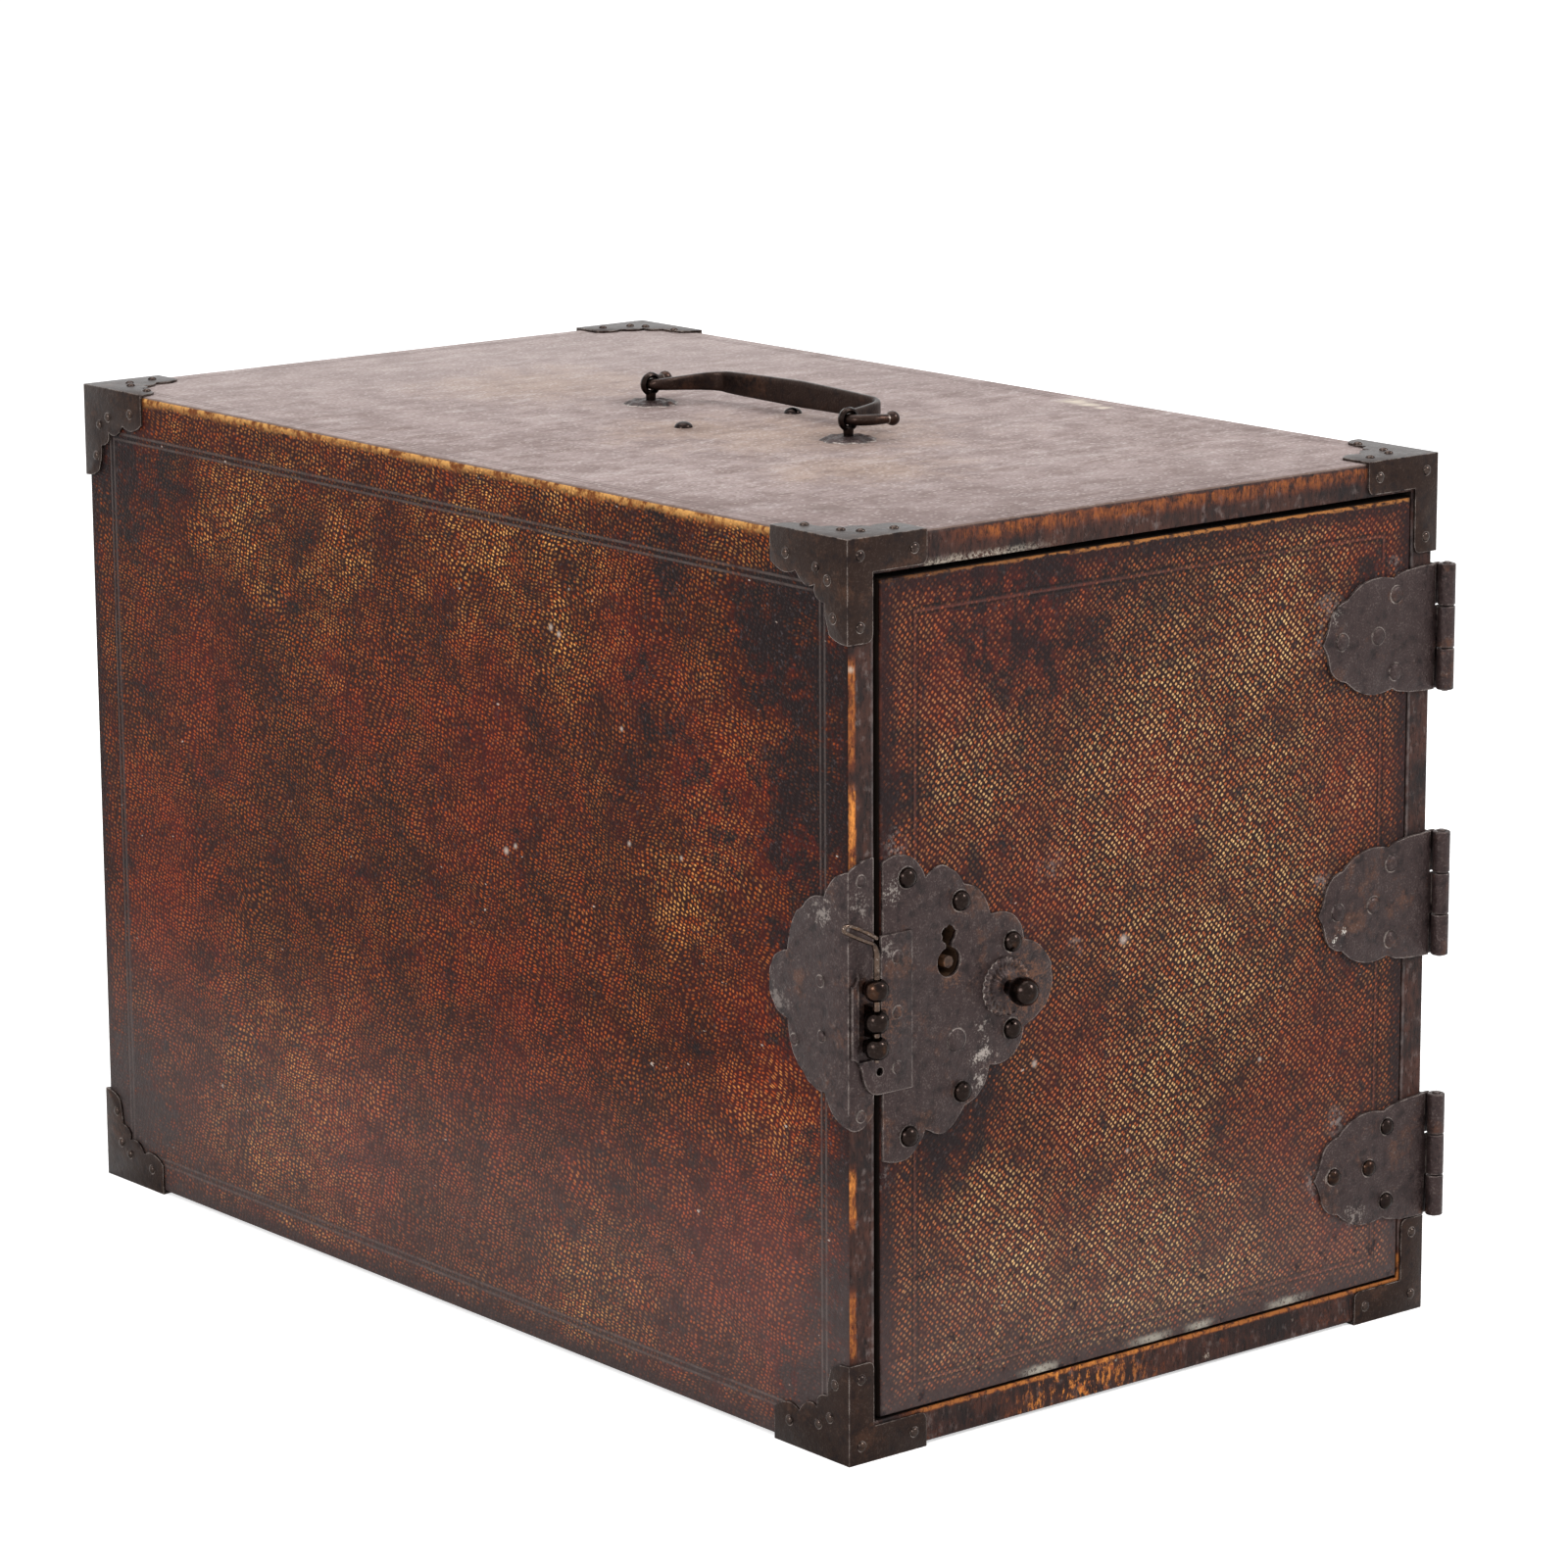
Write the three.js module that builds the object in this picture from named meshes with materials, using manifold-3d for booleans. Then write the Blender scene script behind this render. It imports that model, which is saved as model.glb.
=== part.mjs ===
// A leather-covered sea chest that opens at one end: iron corner caps, a door on three hinges,
// a lobed lock plate with hasp and pin, drawers inside and a folding bail on top.
// Millimetres, +Z up. X runs to the right along the door, Y runs back, and the corner caps'
// outer front-left-bottom corner is the zero point until the whole chest is centred on its base.
import * as THREE from "three";
import { mergeVertices } from "three/addons/utils/BufferGeometryUtils.js";
import Module from "manifold-3d";

const wasm = await Module();
wasm.setup();

// Overall size, measured over the corner caps
const width = 302;
const depth = 507;
const height = 350;

// Leather skins and the boards under them
const skin = 1.2;
const sideBoard = 11;
const topBoard = 12;
const bottomBoard = 12.5;
const backBoard = 11;

// Clearances
const seat = 0.05;
const running = 0.3;
const slack = 0.8;
const cutOver = 2;

// Corner caps: sheet, the lengths of their legs, and their nails
const capSheet = 1;
const capAlongDepth = 44;
const capAlongWidth = 38;
const capAlongHeight = 39;
const capLip = 1;
const capEndRound = 4;
const capNailRadius = 2;
const capNailHeight = 1.3;

// Door: its gaps to the case, how far it stands proud, and its board
const doorGapFree = 3;
const doorGapHinge = 0.8;
const doorGapTop = 2.4;
const doorGapBottom = 1.2;
const doorProud = 0.3;
const doorBoard = 15.8;

// Hinges
const hingeOut = 3.5;
const knuckleRadius = 3.5;
const hingeBoreRadius = 1.9;
const hingePinHead = 0.6;
const leafSheet = 1.2;
const leafTall = 50.6;
const leafReach = 65.5;
const leafNailRadius = 3.6;
const leafNailHeight = 2.6;
const hingeBelowCap = 5;

// Lock plate and keyhole
const lockSheet = 1;
const lockReach = 84;
const lockTall = 116;
const lockHeightShare = 0.4915;
const lockNailRadius = 4.1;
const lockNailHeight = 3.6;
const keyAcross = 32.2;
const keyUp = 14;
const keyRoundRadius = 5.6;
const keyWardRadius = 3.7;
const keyWardUp = 10.5;
const keyPostRadius = 2.4;

// Pull knob and its rosette
const knobAcross = 60.3;
const knobBallRadius = 5.6;
const knobOut = 10.7;
const knobNeckRadius = 3;
const knobShankRadius = 2;
const knobBurrRadius = 4;
const burrSheet = 1.2;
const rosetteNailGap = 1;
const knobNailShare = 0.29;
const rosetteThick = 2.6;

// Strike plate on the case, the eyes and the pin
const strikeSheet = 1;
const strikeReach = 46;
const strikeTall = 97;
const strikeAboveLock = 5.4;
const strikeFrontOver = 4;
const strikeNailRadius = 2.4;
const strikeNailHeight = 1.5;
const pinAcross = 9.2;
const pinRadius = 1.2;
const pinBelow = 1.2;
const loopLong = 15.6;
const loopRise = 7.6;
const eyeRadius = 4.7;
const eyeOut = 0.5;
const eyeBoreRadius = 1.65;
const eyeTall = 8;
const eyeNeckWide = 5;
const eyeBelowLock = 1.3;
const upperEyeGap = 4;
const lowerEyeGap = 2;

// Hasp plate on the door
const haspSheet = 1.2;
const haspRight = 29.7;
const haspTipWide = 3.1;
const haspBelowEyes = 15.2;
const haspAboveEyes = 14.8;
const haspSlotGap = 0.6;
const rivetRadius = 2.6;
const rivetHeight = 1;

// Lock behind the door
const lockCaseSheet = 1.2;
const lockCaseDeep = 11;
const lockCaseLeft = 26;
const lockCaseBelow = 12;
const lockCaseAbove = 34;
const boltThick = 5;
const boltTall = 10;
const boltBehind = 7.8;
const boltBelow = 6;
const boltSetBack = 2.5;
const boltTravel = 8;
const boltTipClear = 1.5;
const boltClear = 0.5;
const springSheet = 0.8;
const springRise = 9;
const keeperWall = 1.5;

// Top handle: posts, rosettes, bail and studs
const postLineX = 151.5;
const frontPostY = 180;
const backPostY = 308;
const pivotUp = 8.4;
const postRingRadius = 5;
const postHoleGap = 0.5;
const postRingThick = 3;
const postShankRadius = 1.9;
const postRosetteRadius = 12;
const postRosetteThick = 2;
const bailRodRadius = 2.2;
const bailReach = 28;
const bailBow = 2;
const bailCornerInset = 11;
const bailSheet = 2.8;
const bailGripTall = 11.2;
const bailCornerTall = 7.4;
const bailArmTall = 4.8;
const bailTipReach = 15;
const bailTipOut = 9.5;
const bailKnobRadius = 3.1;
const studRadius = 3.8;
const studShankRadius = 1.4;
const studShankLong = 8;
const leftStudX = 122.5;
const rightStudX = 180;
const studY = 249.5;

// Drawers and what carries them
const innerSide = 10;
const innerSetBack = 20;
const shelf = 7;
const drawerWall = 7;
const drawerFront = 12;
const drawerBottom = 5;
const drawerHeadroom = 4;
const drawerBehind = 20;
const drawerNames = ["lower", "middle", "upper"];
const drawerHeightShares = [0.43, 0.33, 0.24];
const pullBallRadius = 4.2;
const pullOut = 8.6;
const pullNeckRadius = 2.4;
const pullShankRadius = 1.5;
const pullRosetteRadius = 9;
const pullRosetteThick = 1.6;

// Facets of round pieces, and the fineness at which vertices are joined
const nailSides = 6;
const roundSides = 12;
const discSides = 16;
const curveSteps = 3;
const loopSteps = 20;
const bailEndSteps = 14;
const weld = 1e-4;
const grain = 1e-3;

// Colour, roughness and metalness of each material
const finishes = {
  leather: { color: 0x6b3826, roughness: 0.6, metalness: 0 },
  iron: { color: 0x3d332f, roughness: 0.45, metalness: 0.9 },
  wood: { color: 0x7a5a38, roughness: 0.75, metalness: 0 },
  drawer_wood: { color: 0x8d6b45, roughness: 0.7, metalness: 0 },
};

// Faces of the leather, of the boards and of the hollow between the boards
const leather = {
  left: capSheet,
  right: width - capSheet,
  front: capSheet,
  back: depth - capSheet,
  bottom: capSheet,
  top: height - capSheet,
};
const wood = {
  left: leather.left + skin,
  right: leather.right - skin,
  front: leather.front + skin,
  back: leather.back - skin,
  bottom: leather.bottom + skin,
  top: leather.top - skin,
};
const hollow = {
  left: wood.left + sideBoard,
  right: wood.right - sideBoard,
  back: wood.back - backBoard,
  bottom: wood.bottom + bottomBoard,
  top: wood.top - topBoard,
};
const door = {
  left: hollow.left + doorGapFree,
  right: hollow.right - doorGapHinge,
  bottom: hollow.bottom + doorGapBottom,
  top: hollow.top - doorGapTop,
  face: leather.front - doorProud,
};
door.wood = door.face + skin;
door.back = door.wood + doorBoard;

const hingeX = width + hingeOut;
const hingeY = door.face - knuckleRadius;
const hingePinRadius = hingeBoreRadius - running;
const lockZ = height * lockHeightShare;
const lockFront = door.face - lockSheet;
const haspFront = lockFront - haspSheet;
const keyX = door.left + keyAcross;
const keyZ = lockZ + keyUp;
const knobX = door.left + knobAcross;
const knobRosetteRadius = (lockTall / 2) * knobNailShare - lockNailRadius - rosetteNailGap;
const strikeZ = lockZ + strikeAboveLock;
const strikeFront = leather.front - strikeSheet;
const strikeSide = leather.left - strikeSheet;
const middleEyeZ = lockZ - eyeBelowLock;
const upperEyeZ = middleEyeZ + eyeTall + upperEyeGap;
const lowerEyeZ = middleEyeZ - eyeTall - lowerEyeGap;
const eyesBottom = lowerEyeZ - eyeTall / 2;
const eyesTop = upperEyeZ + eyeTall / 2;
const haspBottom = eyesBottom - haspBelowEyes;
const haspTop = eyesTop + haspAboveEyes;
const pinY = strikeFront - eyeOut - eyeRadius;
const postZ = leather.top + pivotUp;
const postHoleRadius = bailRodRadius + postHoleGap;
const lowerHingeZ = capAlongHeight + running + leafTall / 2;
const upperHingeZ = height - capAlongHeight - hingeBelowCap - leafTall / 2;
const drawerFace = door.back + innerSetBack;

// Turns a closed geometry into a solid for joining and cutting.
function solidOf(geometry) {
  const loose = geometry.index ? geometry.toNonIndexed() : geometry;
  const bare = new THREE.BufferGeometry();
  bare.setAttribute("position", loose.getAttribute("position").clone());
  const merged = mergeVertices(bare, weld);
  const corners = merged.index.array;
  const faces = [];
  for (let i = 0; i < corners.length; i += 3) {
    const [a, b, c] = corners.slice(i, i + 3);
    if (a !== b && b !== c && c !== a) faces.push(a, b, c);
  }
  return new wasm.Manifold(
    new wasm.Mesh({
      numProp: 3,
      vertProperties: merged.attributes.position.array,
      triVerts: new Uint32Array(faces),
    }),
  );
}

// Turns a solid back into a geometry. Vertices lie on a fine grid, so that faces that meet agree.
function geometryOf(solid) {
  const mesh = solid.getMesh();
  const places = new Float32Array(mesh.numVert * 3);
  for (let i = 0; i < mesh.numVert; i += 1) {
    for (let k = 0; k < 3; k += 1) {
      places[i * 3 + k] = Math.round(mesh.vertProperties[i * mesh.numProp + k] / grain) * grain;
    }
  }
  const geometry = new THREE.BufferGeometry();
  geometry.setAttribute("position", new THREE.BufferAttribute(places, 3));
  geometry.setIndex(new THREE.BufferAttribute(new Uint32Array(mesh.triVerts), 1));
  return geometry;
}

function join(...geometries) {
  const solids = geometries.map(solidOf);
  return geometryOf(solids.reduce((all, one) => all.add(one)));
}

function cut(body, ...tools) {
  const start = solidOf(body);
  return geometryOf(tools.map(solidOf).reduce((rest, tool) => rest.subtract(tool), start));
}

function meet(first, second) {
  return geometryOf(solidOf(first).intersect(solidOf(second)));
}

// A box between two corners, with its faces exactly on the given numbers.
function block(low, high) {
  const box = new THREE.BoxGeometry(1, 1, 1);
  const places = box.getAttribute("position");
  for (let i = 0; i < places.count; i += 1) {
    places.setXYZ(
      i,
      places.getX(i) < 0 ? low[0] : high[0],
      places.getY(i) < 0 ? low[1] : high[1],
      places.getZ(i) < 0 ? low[2] : high[2],
    );
  }
  return box;
}

// A flat sheet cut to an outline that is drawn in X and Y, thickened upwards from zero.
function sheet(outline, thick, steps = curveSteps) {
  return new THREE.ExtrudeGeometry(outline, {
    depth: thick,
    bevelEnabled: false,
    curveSegments: steps,
  });
}

// Bases that stand a drawn sheet up: on the front (across, up), or on a side (back, up).
const frontBasis = new THREE.Matrix4().makeBasis(
  new THREE.Vector3(1, 0, 0),
  new THREE.Vector3(0, 0, 1),
  new THREE.Vector3(0, -1, 0),
);
const sideBasis = new THREE.Matrix4().makeBasis(
  new THREE.Vector3(0, 1, 0),
  new THREE.Vector3(0, 0, 1),
  new THREE.Vector3(1, 0, 0),
);

// A drawn sheet that stands on the front, its outer face at y = face.
function frontSheet(outline, thick, face, steps) {
  return sheet(outline, thick, steps).applyMatrix4(frontBasis).translate(0, face + thick, 0);
}

// A drawn sheet that stands on a side, its left face at x = face.
function sideSheet(outline, thick, face, steps) {
  return sheet(outline, thick, steps).applyMatrix4(sideBasis).translate(face, 0, 0);
}

// A turned piece: profile points are [radius, distance], and distance runs along a direction.
function turned(profile, sides, direction) {
  const points = profile.map(([radius, along]) => new THREE.Vector2(radius, along));
  const lathe = new THREE.LatheGeometry(points, sides);
  const turn = new THREE.Quaternion().setFromUnitVectors(new THREE.Vector3(0, 1, 0), direction);
  return lathe.applyQuaternion(turn);
}

const toFront = new THREE.Vector3(0, -1, 0);
const toBack = new THREE.Vector3(0, 1, 0);
const toLeft = new THREE.Vector3(-1, 0, 0);
const toRight = new THREE.Vector3(1, 0, 0);
const upwards = new THREE.Vector3(0, 0, 1);

// A domed nail head whose foot is sunk a little into the sheet under it.
function dome(radius, rise, sink, direction, sides = nailSides) {
  const shoulderShare = 0.78;
  const shoulderRiseShare = 0.66;
  const profile = [
    [0, -sink],
    [radius, -sink],
    [radius * shoulderShare, rise * shoulderRiseShare],
    [0, rise],
  ];
  return turned(profile, sides, direction);
}

function rod(radius, from, to, sides = roundSides) {
  const start = new THREE.Vector3(...from);
  const end = new THREE.Vector3(...to);
  const way = end.clone().sub(start);
  const cylinder = new THREE.CylinderGeometry(radius, radius, way.length(), sides);
  const turn = new THREE.Quaternion().setFromUnitVectors(toBack, way.clone().normalize());
  const middle = start.add(end).divideScalar(2);
  return cylinder.applyQuaternion(turn).translate(middle.x, middle.y, middle.z);
}

// Half of a lobed outline runs from the straight edge to the tip, and the other half mirrors it.
// Each lobe is [control reach, control half height, end reach, end half height], as shares.
function lobedOutline(startShare, lobeShares, reach, half, centre, edge, way) {
  const at = (reachShare, halfShare) => [edge + way * reach * reachShare, centre + half * halfShare];
  const outline = new THREE.Shape();
  outline.moveTo(...at(0, startShare));
  for (const [a, b, c, d] of lobeShares) outline.quadraticCurveTo(...at(a, b), ...at(c, d));
  for (let i = lobeShares.length - 1; i >= 0; i -= 1) {
    const [a, b] = lobeShares[i];
    const [c, d] = i > 0 ? lobeShares[i - 1].slice(2) : [0, startShare];
    outline.quadraticCurveTo(...at(a, -b), ...at(c, -d));
  }
  outline.closePath();
  return outline;
}

const chest = new THREE.Group();

function piece(name, geometry, finish) {
  const mesh = new THREE.Mesh(geometry, new THREE.MeshStandardMaterial(finishes[finish]));
  mesh.name = name;
  chest.add(mesh);
  return mesh;
}

// Boards of the case. The sides run the whole height, and the top and bottom lie between them.
function buildBoards() {
  const holes = [frontPostY, backPostY].map((y) => postHole(y));
  const studHoles = [leftStudX, rightStudX].map((x) => studHole(x));
  piece(
    "case_left_board",
    block([wood.left, wood.front, wood.bottom], [hollow.left, wood.back, wood.top]),
    "wood",
  );
  piece(
    "case_right_board",
    block([hollow.right, wood.front, wood.bottom], [wood.right, wood.back, wood.top]),
    "wood",
  );
  const top = block([hollow.left, wood.front, hollow.top], [hollow.right, wood.back, wood.top]);
  piece("case_top_board", cut(top, ...holes, ...studHoles), "wood");
  piece(
    "case_bottom_board",
    block([hollow.left, wood.front, wood.bottom], [hollow.right, wood.back, hollow.bottom]),
    "wood",
  );
  piece(
    "case_back_board",
    block([hollow.left, hollow.back, hollow.bottom], [hollow.right, wood.back, hollow.top]),
    "wood",
  );
}

function postHole(y) {
  const radius = postShankRadius + running;
  return rod(
    radius,
    [postLineX, y, hollow.top - cutOver],
    [postLineX, y, leather.top + cutOver],
  );
}

function studHole(x) {
  const radius = studShankRadius + running;
  return rod(
    radius,
    [x, studY, leather.top - studShankLong - running],
    [x, studY, leather.top + cutOver],
    nailSides,
  );
}

// Leather skins glued over the boards.
function buildLeather() {
  piece(
    "leather_left",
    block([leather.left, wood.front, wood.bottom], [wood.left, wood.back, wood.top]),
    "leather",
  );
  piece(
    "leather_right",
    block([wood.right, wood.front, wood.bottom], [leather.right, wood.back, wood.top]),
    "leather",
  );
  const top = block([leather.left, wood.front, wood.top], [leather.right, wood.back, leather.top]);
  const holes = [frontPostY, backPostY].map((y) => postHole(y));
  const studHoles = [leftStudX, rightStudX].map((x) => studHole(x));
  piece("leather_top", cut(top, ...holes, ...studHoles), "leather");
  piece(
    "leather_bottom",
    block([leather.left, wood.front, leather.bottom], [leather.right, wood.back, wood.bottom]),
    "leather",
  );
  piece(
    "leather_back",
    block([leather.left, wood.back, leather.bottom], [leather.right, leather.back, leather.top]),
    "leather",
  );
  const rim = block(
    [leather.left, leather.front, leather.bottom],
    [leather.right, wood.front, leather.top],
  );
  const mouth = block(
    [hollow.left, leather.front - cutOver, hollow.bottom],
    [hollow.right, wood.front + cutOver, hollow.top],
  );
  piece("leather_front_rim", cut(rim, mouth), "leather");
}

// A cap's scalloped leg outline on a large face, drawn from the corner along both edges.
// Each row after the first is [control along, control across, end along, end across].
const scallopStartShares = [1, 0.333];
const scallopShares = [
  [0.824, 0.487, 0.67, 0.385],
  [0.545, 0.572, 0.42, 0.482],
  [0.455, 0.628, 0.289, 0.641],
  [0.295, 0.77, 0.239, 0.923],
  [0.16, 1, 0, 1],
];
const capNailShares = [
  [0.8, 0.24],
  [0.41, 0.32],
  [0.26, 0.42],
  [0.19, 0.77],
];

function scallop(along, across) {
  const outline = new THREE.Shape();
  outline.moveTo(0, 0);
  outline.lineTo(along, 0);
  outline.lineTo(along * scallopStartShares[0], across * scallopStartShares[1]);
  for (const [a, b, c, d] of scallopShares) {
    outline.quadraticCurveTo(along * a, across * b, along * c, across * d);
  }
  outline.closePath();
  return outline;
}

// A cap's outline on the narrow frame round the door: two straight legs with rounded ends.
function straightLegs(rail) {
  const legWide = hollow.left - capLip;
  const outline = new THREE.Shape();
  outline.moveTo(0, 0);
  outline.lineTo(capAlongWidth, 0);
  outline.lineTo(capAlongWidth, rail - capEndRound);
  outline.quadraticCurveTo(capAlongWidth, rail, capAlongWidth - capEndRound, rail);
  outline.lineTo(legWide, rail);
  outline.lineTo(legWide, capAlongHeight - capEndRound);
  outline.quadraticCurveTo(legWide, capAlongHeight, legWide - capEndRound, capAlongHeight);
  outline.lineTo(0, capAlongHeight);
  outline.closePath();
  return outline;
}

// One cap in its own corner: the three sheets run inwards along +X, +Y and +Z from zero.
function cornerCap(atFront, atTop) {
  const rail = (atTop ? height - hollow.top : hollow.bottom) - capLip;
  const faceOutline = atFront ? straightLegs(rail) : scallop(capAlongWidth, capAlongHeight);
  const sideNails = capNailShares.map(([a, b]) => [a * capAlongDepth, b * capAlongHeight]);
  const flatNails = capNailShares.map(([a, b]) => [b * capAlongWidth, a * capAlongDepth]);
  const nailLeg = (hollow.left - capLip) / 2;
  const faceNails = atFront
    ? [
        [nailLeg, rail / 2],
        [capAlongWidth - nailLeg, rail / 2],
        [nailLeg, capAlongHeight - nailLeg],
      ]
    : capNailShares.map(([a, b]) => [a * capAlongWidth, b * capAlongHeight]);
  const sink = capSheet / 2;
  const nail = (direction) => dome(capNailRadius, capNailHeight, sink, direction);
  const solids = [
    frontSheet(faceOutline, capSheet, 0),
    sideSheet(scallop(capAlongDepth, capAlongHeight), capSheet, 0),
    sheet(scallop(capAlongWidth, capAlongDepth), capSheet),
    ...sideNails.map(([y, z]) => nail(toLeft).translate(0, y, z)),
    ...faceNails.map(([x, z]) => nail(toFront).translate(x, 0, z)),
  ];
  if (atTop) {
    const down = upwards.clone().negate();
    for (const [x, y] of flatNails) solids.push(nail(down).translate(x, y, 0));
  }
  return join(...solids);
}

// The eight caps: each corner's cap is mirrored into its place, a seat's width off the leather.
function buildCaps() {
  for (const [frontName, atFront] of [["front", true], ["back", false]]) {
    for (const [sideName, atLeft] of [["left", true], ["right", false]]) {
      for (const [levelName, atTop] of [["bottom", false], ["top", true]]) {
        const name = `corner_cap_${frontName}_${sideName}_${levelName}`;
        const cap = piece(name, cornerCap(atFront, atTop), "iron");
        cap.scale.set(atLeft ? 1 : -1, atFront ? 1 : -1, atTop ? -1 : 1);
        cap.position.set(
          atLeft ? -seat : width + seat,
          atFront ? -seat : depth + seat,
          atTop ? height + seat : -seat,
        );
      }
    }
  }
}

// Hinge leaves: both have the same lobed outline and a diamond of four nails.
const leafLobeShares = [
  [0.36, 1, 0.42, 0.91],
  [0.66, 1.02, 0.82, 0.66],
  [0.97, 0.5, 1, 0],
];
const leafNailShares = [
  [0.39, 0.61],
  [0.39, -0.61],
  [0.54, 0],
  [0.84, 0],
];

function knuckle(low, high) {
  const profile = [
    [hingeBoreRadius, low],
    [knuckleRadius, low],
    [knuckleRadius, high],
    [hingeBoreRadius, high],
    [hingeBoreRadius, low],
  ];
  return turned(profile, roundSides, upwards).translate(hingeX, hingeY, 0);
}

function hingeNails(z, place, direction) {
  return leafNailShares.map(([reachShare, halfShare]) => {
    const nail = dome(leafNailRadius, leafNailHeight, leafSheet / 2, direction, nailSides + 2);
    const [x, y] = place(leafReach * reachShare);
    return nail.translate(x, y, z + (halfShare * leafTall) / 2);
  });
}

function buildHinge(name, z) {
  const half = leafTall / 2;
  const knuckleTall = (leafTall - 2 * running) / 3;
  const lowTop = z - half + knuckleTall;
  const highBottom = z + half - knuckleTall;
  const front = door.face - leafSheet;
  const [below, above] = [z - half - cutOver, z + half + cutOver];

  // The leaf on the door carries the middle knuckle and is cut back beside the other two.
  const doorOutline = lobedOutline(1, leafLobeShares, leafReach, half, z, hingeX, -1);
  const cutBack = hingeX - knuckleRadius - running;
  const doorLeaf = cut(
    frontSheet(doorOutline, leafSheet, front),
    block([cutBack, front - cutOver, below], [hingeX + cutOver, door.back, lowTop + running]),
    block([cutBack, front - cutOver, highBottom - running], [hingeX + cutOver, door.back, above]),
  );
  const doorNails = hingeNails(z, (reach) => [hingeX - reach, front], toFront);
  piece(
    `hinge_${name}_door_leaf`,
    join(doorLeaf, knuckle(lowTop + running, highBottom - running), ...doorNails),
    "iron",
  );

  // The leaf on the case's side carries the outer knuckles, joined to it behind the pin.
  const sideOutline = lobedOutline(1, leafLobeShares, leafReach, half, z, hingeY, 1);
  const plateFront = leather.front;
  const inner = leather.right + seat;
  const outer = inner + leafSheet;
  const sideLeaf = cut(
    sideSheet(sideOutline, leafSheet, inner),
    block([inner - cutOver, hingeY - cutOver, below], [outer + cutOver, plateFront, above]),
  );
  const webs = [
    [z - half, lowTop],
    [highBottom, z + half],
  ].flatMap(([low, high]) => [
    block([inner, plateFront, low], [hingeX, plateFront + leafSheet, high]),
    block([outer + running, door.face - leafSheet, low], [hingeX, plateFront + leafSheet, high]),
  ]);
  const sideNails = hingeNails(z, (reach) => [outer, hingeY + reach], toRight);
  piece(
    `hinge_${name}_side_leaf`,
    join(sideLeaf, ...webs, knuckle(z - half, lowTop), knuckle(highBottom, z + half), ...sideNails),
    "iron",
  );

  const pinHalf = half + hingePinHead;
  const pin = rod(hingePinRadius, [hingeX, hingeY, z - pinHalf], [hingeX, hingeY, z + pinHalf]);
  piece(`hinge_${name}_pin`, pin, "iron");
}

// The keyhole: a round hole, a round ward above it, and a neck between them.
function keyholeTools(grow, front, back) {
  const ward = keyZ + keyWardUp;
  const neck = keyWardRadius / 2 + grow;
  return [
    rod(keyRoundRadius + grow, [keyX, front, keyZ], [keyX, back, keyZ]),
    rod(keyWardRadius + grow, [keyX, front, ward], [keyX, back, ward]),
    block([keyX - neck, front, keyZ], [keyX + neck, back, ward]),
  ];
}

function knobHole(front, back) {
  return rod(knobShankRadius + running, [knobX, front, lockZ], [knobX, back, lockZ]);
}

// Door panel, its leather and the lock plate nailed on it.
function buildDoor() {
  const through = [door.face - cutOver, door.back + cutOver];
  const panel = block([door.left, door.wood, door.bottom], [door.right, door.back, door.top]);
  piece("door_panel", cut(panel, ...keyholeTools(running, ...through), knobHole(...through)), "wood");
  const hide = block([door.left, door.face, door.bottom], [door.right, door.wood, door.top]);
  piece("door_leather", cut(hide, ...keyholeTools(running, ...through), knobHole(...through)), "leather");

  const lobeShares = [
    [0.17, 1.08, 0.25, 0.83],
    [0.36, 0.98, 0.475, 0.735],
    [0.6, 0.7, 0.625, 0.5],
    [0.8, 0.54, 0.83, 0.29],
    [0.99, 0.22, 1, 0],
  ];
  const nailShares = [
    [0.14, 0.85],
    [0.45, 0.63],
    [0.755, knobNailShare],
    [0.755, -knobNailShare],
    [0.46, -0.635],
    [0.15, -0.85],
  ];
  const outline = lobedOutline(0.98, lobeShares, lockReach, lockTall / 2, lockZ, door.left, 1);
  const nails = nailShares.map(([across, up]) =>
    dome(lockNailRadius, lockNailHeight, lockSheet / 2, toFront, nailSides + 2).translate(
      door.left + lockReach * across,
      lockFront,
      lockZ + (lockTall / 2) * up,
    ),
  );
  const front = lockFront - cutOver;
  const plate = join(frontSheet(outline, lockSheet - seat, lockFront), ...nails);
  piece("lock_plate", cut(plate, ...keyholeTools(0, front, door.wood), knobHole(front, door.wood)), "iron");
}

// Pull knob: a ball on a neck, with a shank through the door that is burred over inside.
function buildKnob() {
  const front = lockFront - rosetteThick;
  const burr = door.back + seat;
  const profile = [
    [0, burr + burrSheet],
    [knobBurrRadius, burr + burrSheet],
    [knobBurrRadius, burr],
    [knobShankRadius, burr],
    [knobShankRadius, front - seat],
    [knobNeckRadius, front - seat],
    [knobNeckRadius * 0.9, lockFront - knobOut + knobBallRadius * 0.8],
    [knobBallRadius * 0.85, lockFront - knobOut + knobBallRadius * 0.5],
    [knobBallRadius, lockFront - knobOut],
    [knobBallRadius * 0.75, lockFront - knobOut - knobBallRadius * 0.66],
    [0, lockFront - knobOut - knobBallRadius],
  ];
  const knob = turned(profile.reverse(), roundSides, toBack).translate(knobX, 0, lockZ);
  piece("pull_knob", knob, "iron");
  const rosette = rosetteDisc(knobRosetteRadius, rosetteThick, knobShankRadius + running, toFront);
  piece("knob_rosette", rosette.translate(knobX, lockFront - seat, lockZ), "iron");
}

// A rosette: a dished disc with a raised rim and middle, and a hole for a shank.
function rosetteDisc(radius, thick, hole, direction) {
  const profile = [
    [hole, 0],
    [radius, 0],
    [radius, thick * 0.3],
    [radius * 0.86, thick * 0.7],
    [radius * 0.6, thick * 0.45],
    [radius * 0.42, thick],
    [hole, thick],
    [hole, 0],
  ];
  return turned(profile, discSides, direction);
}

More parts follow.
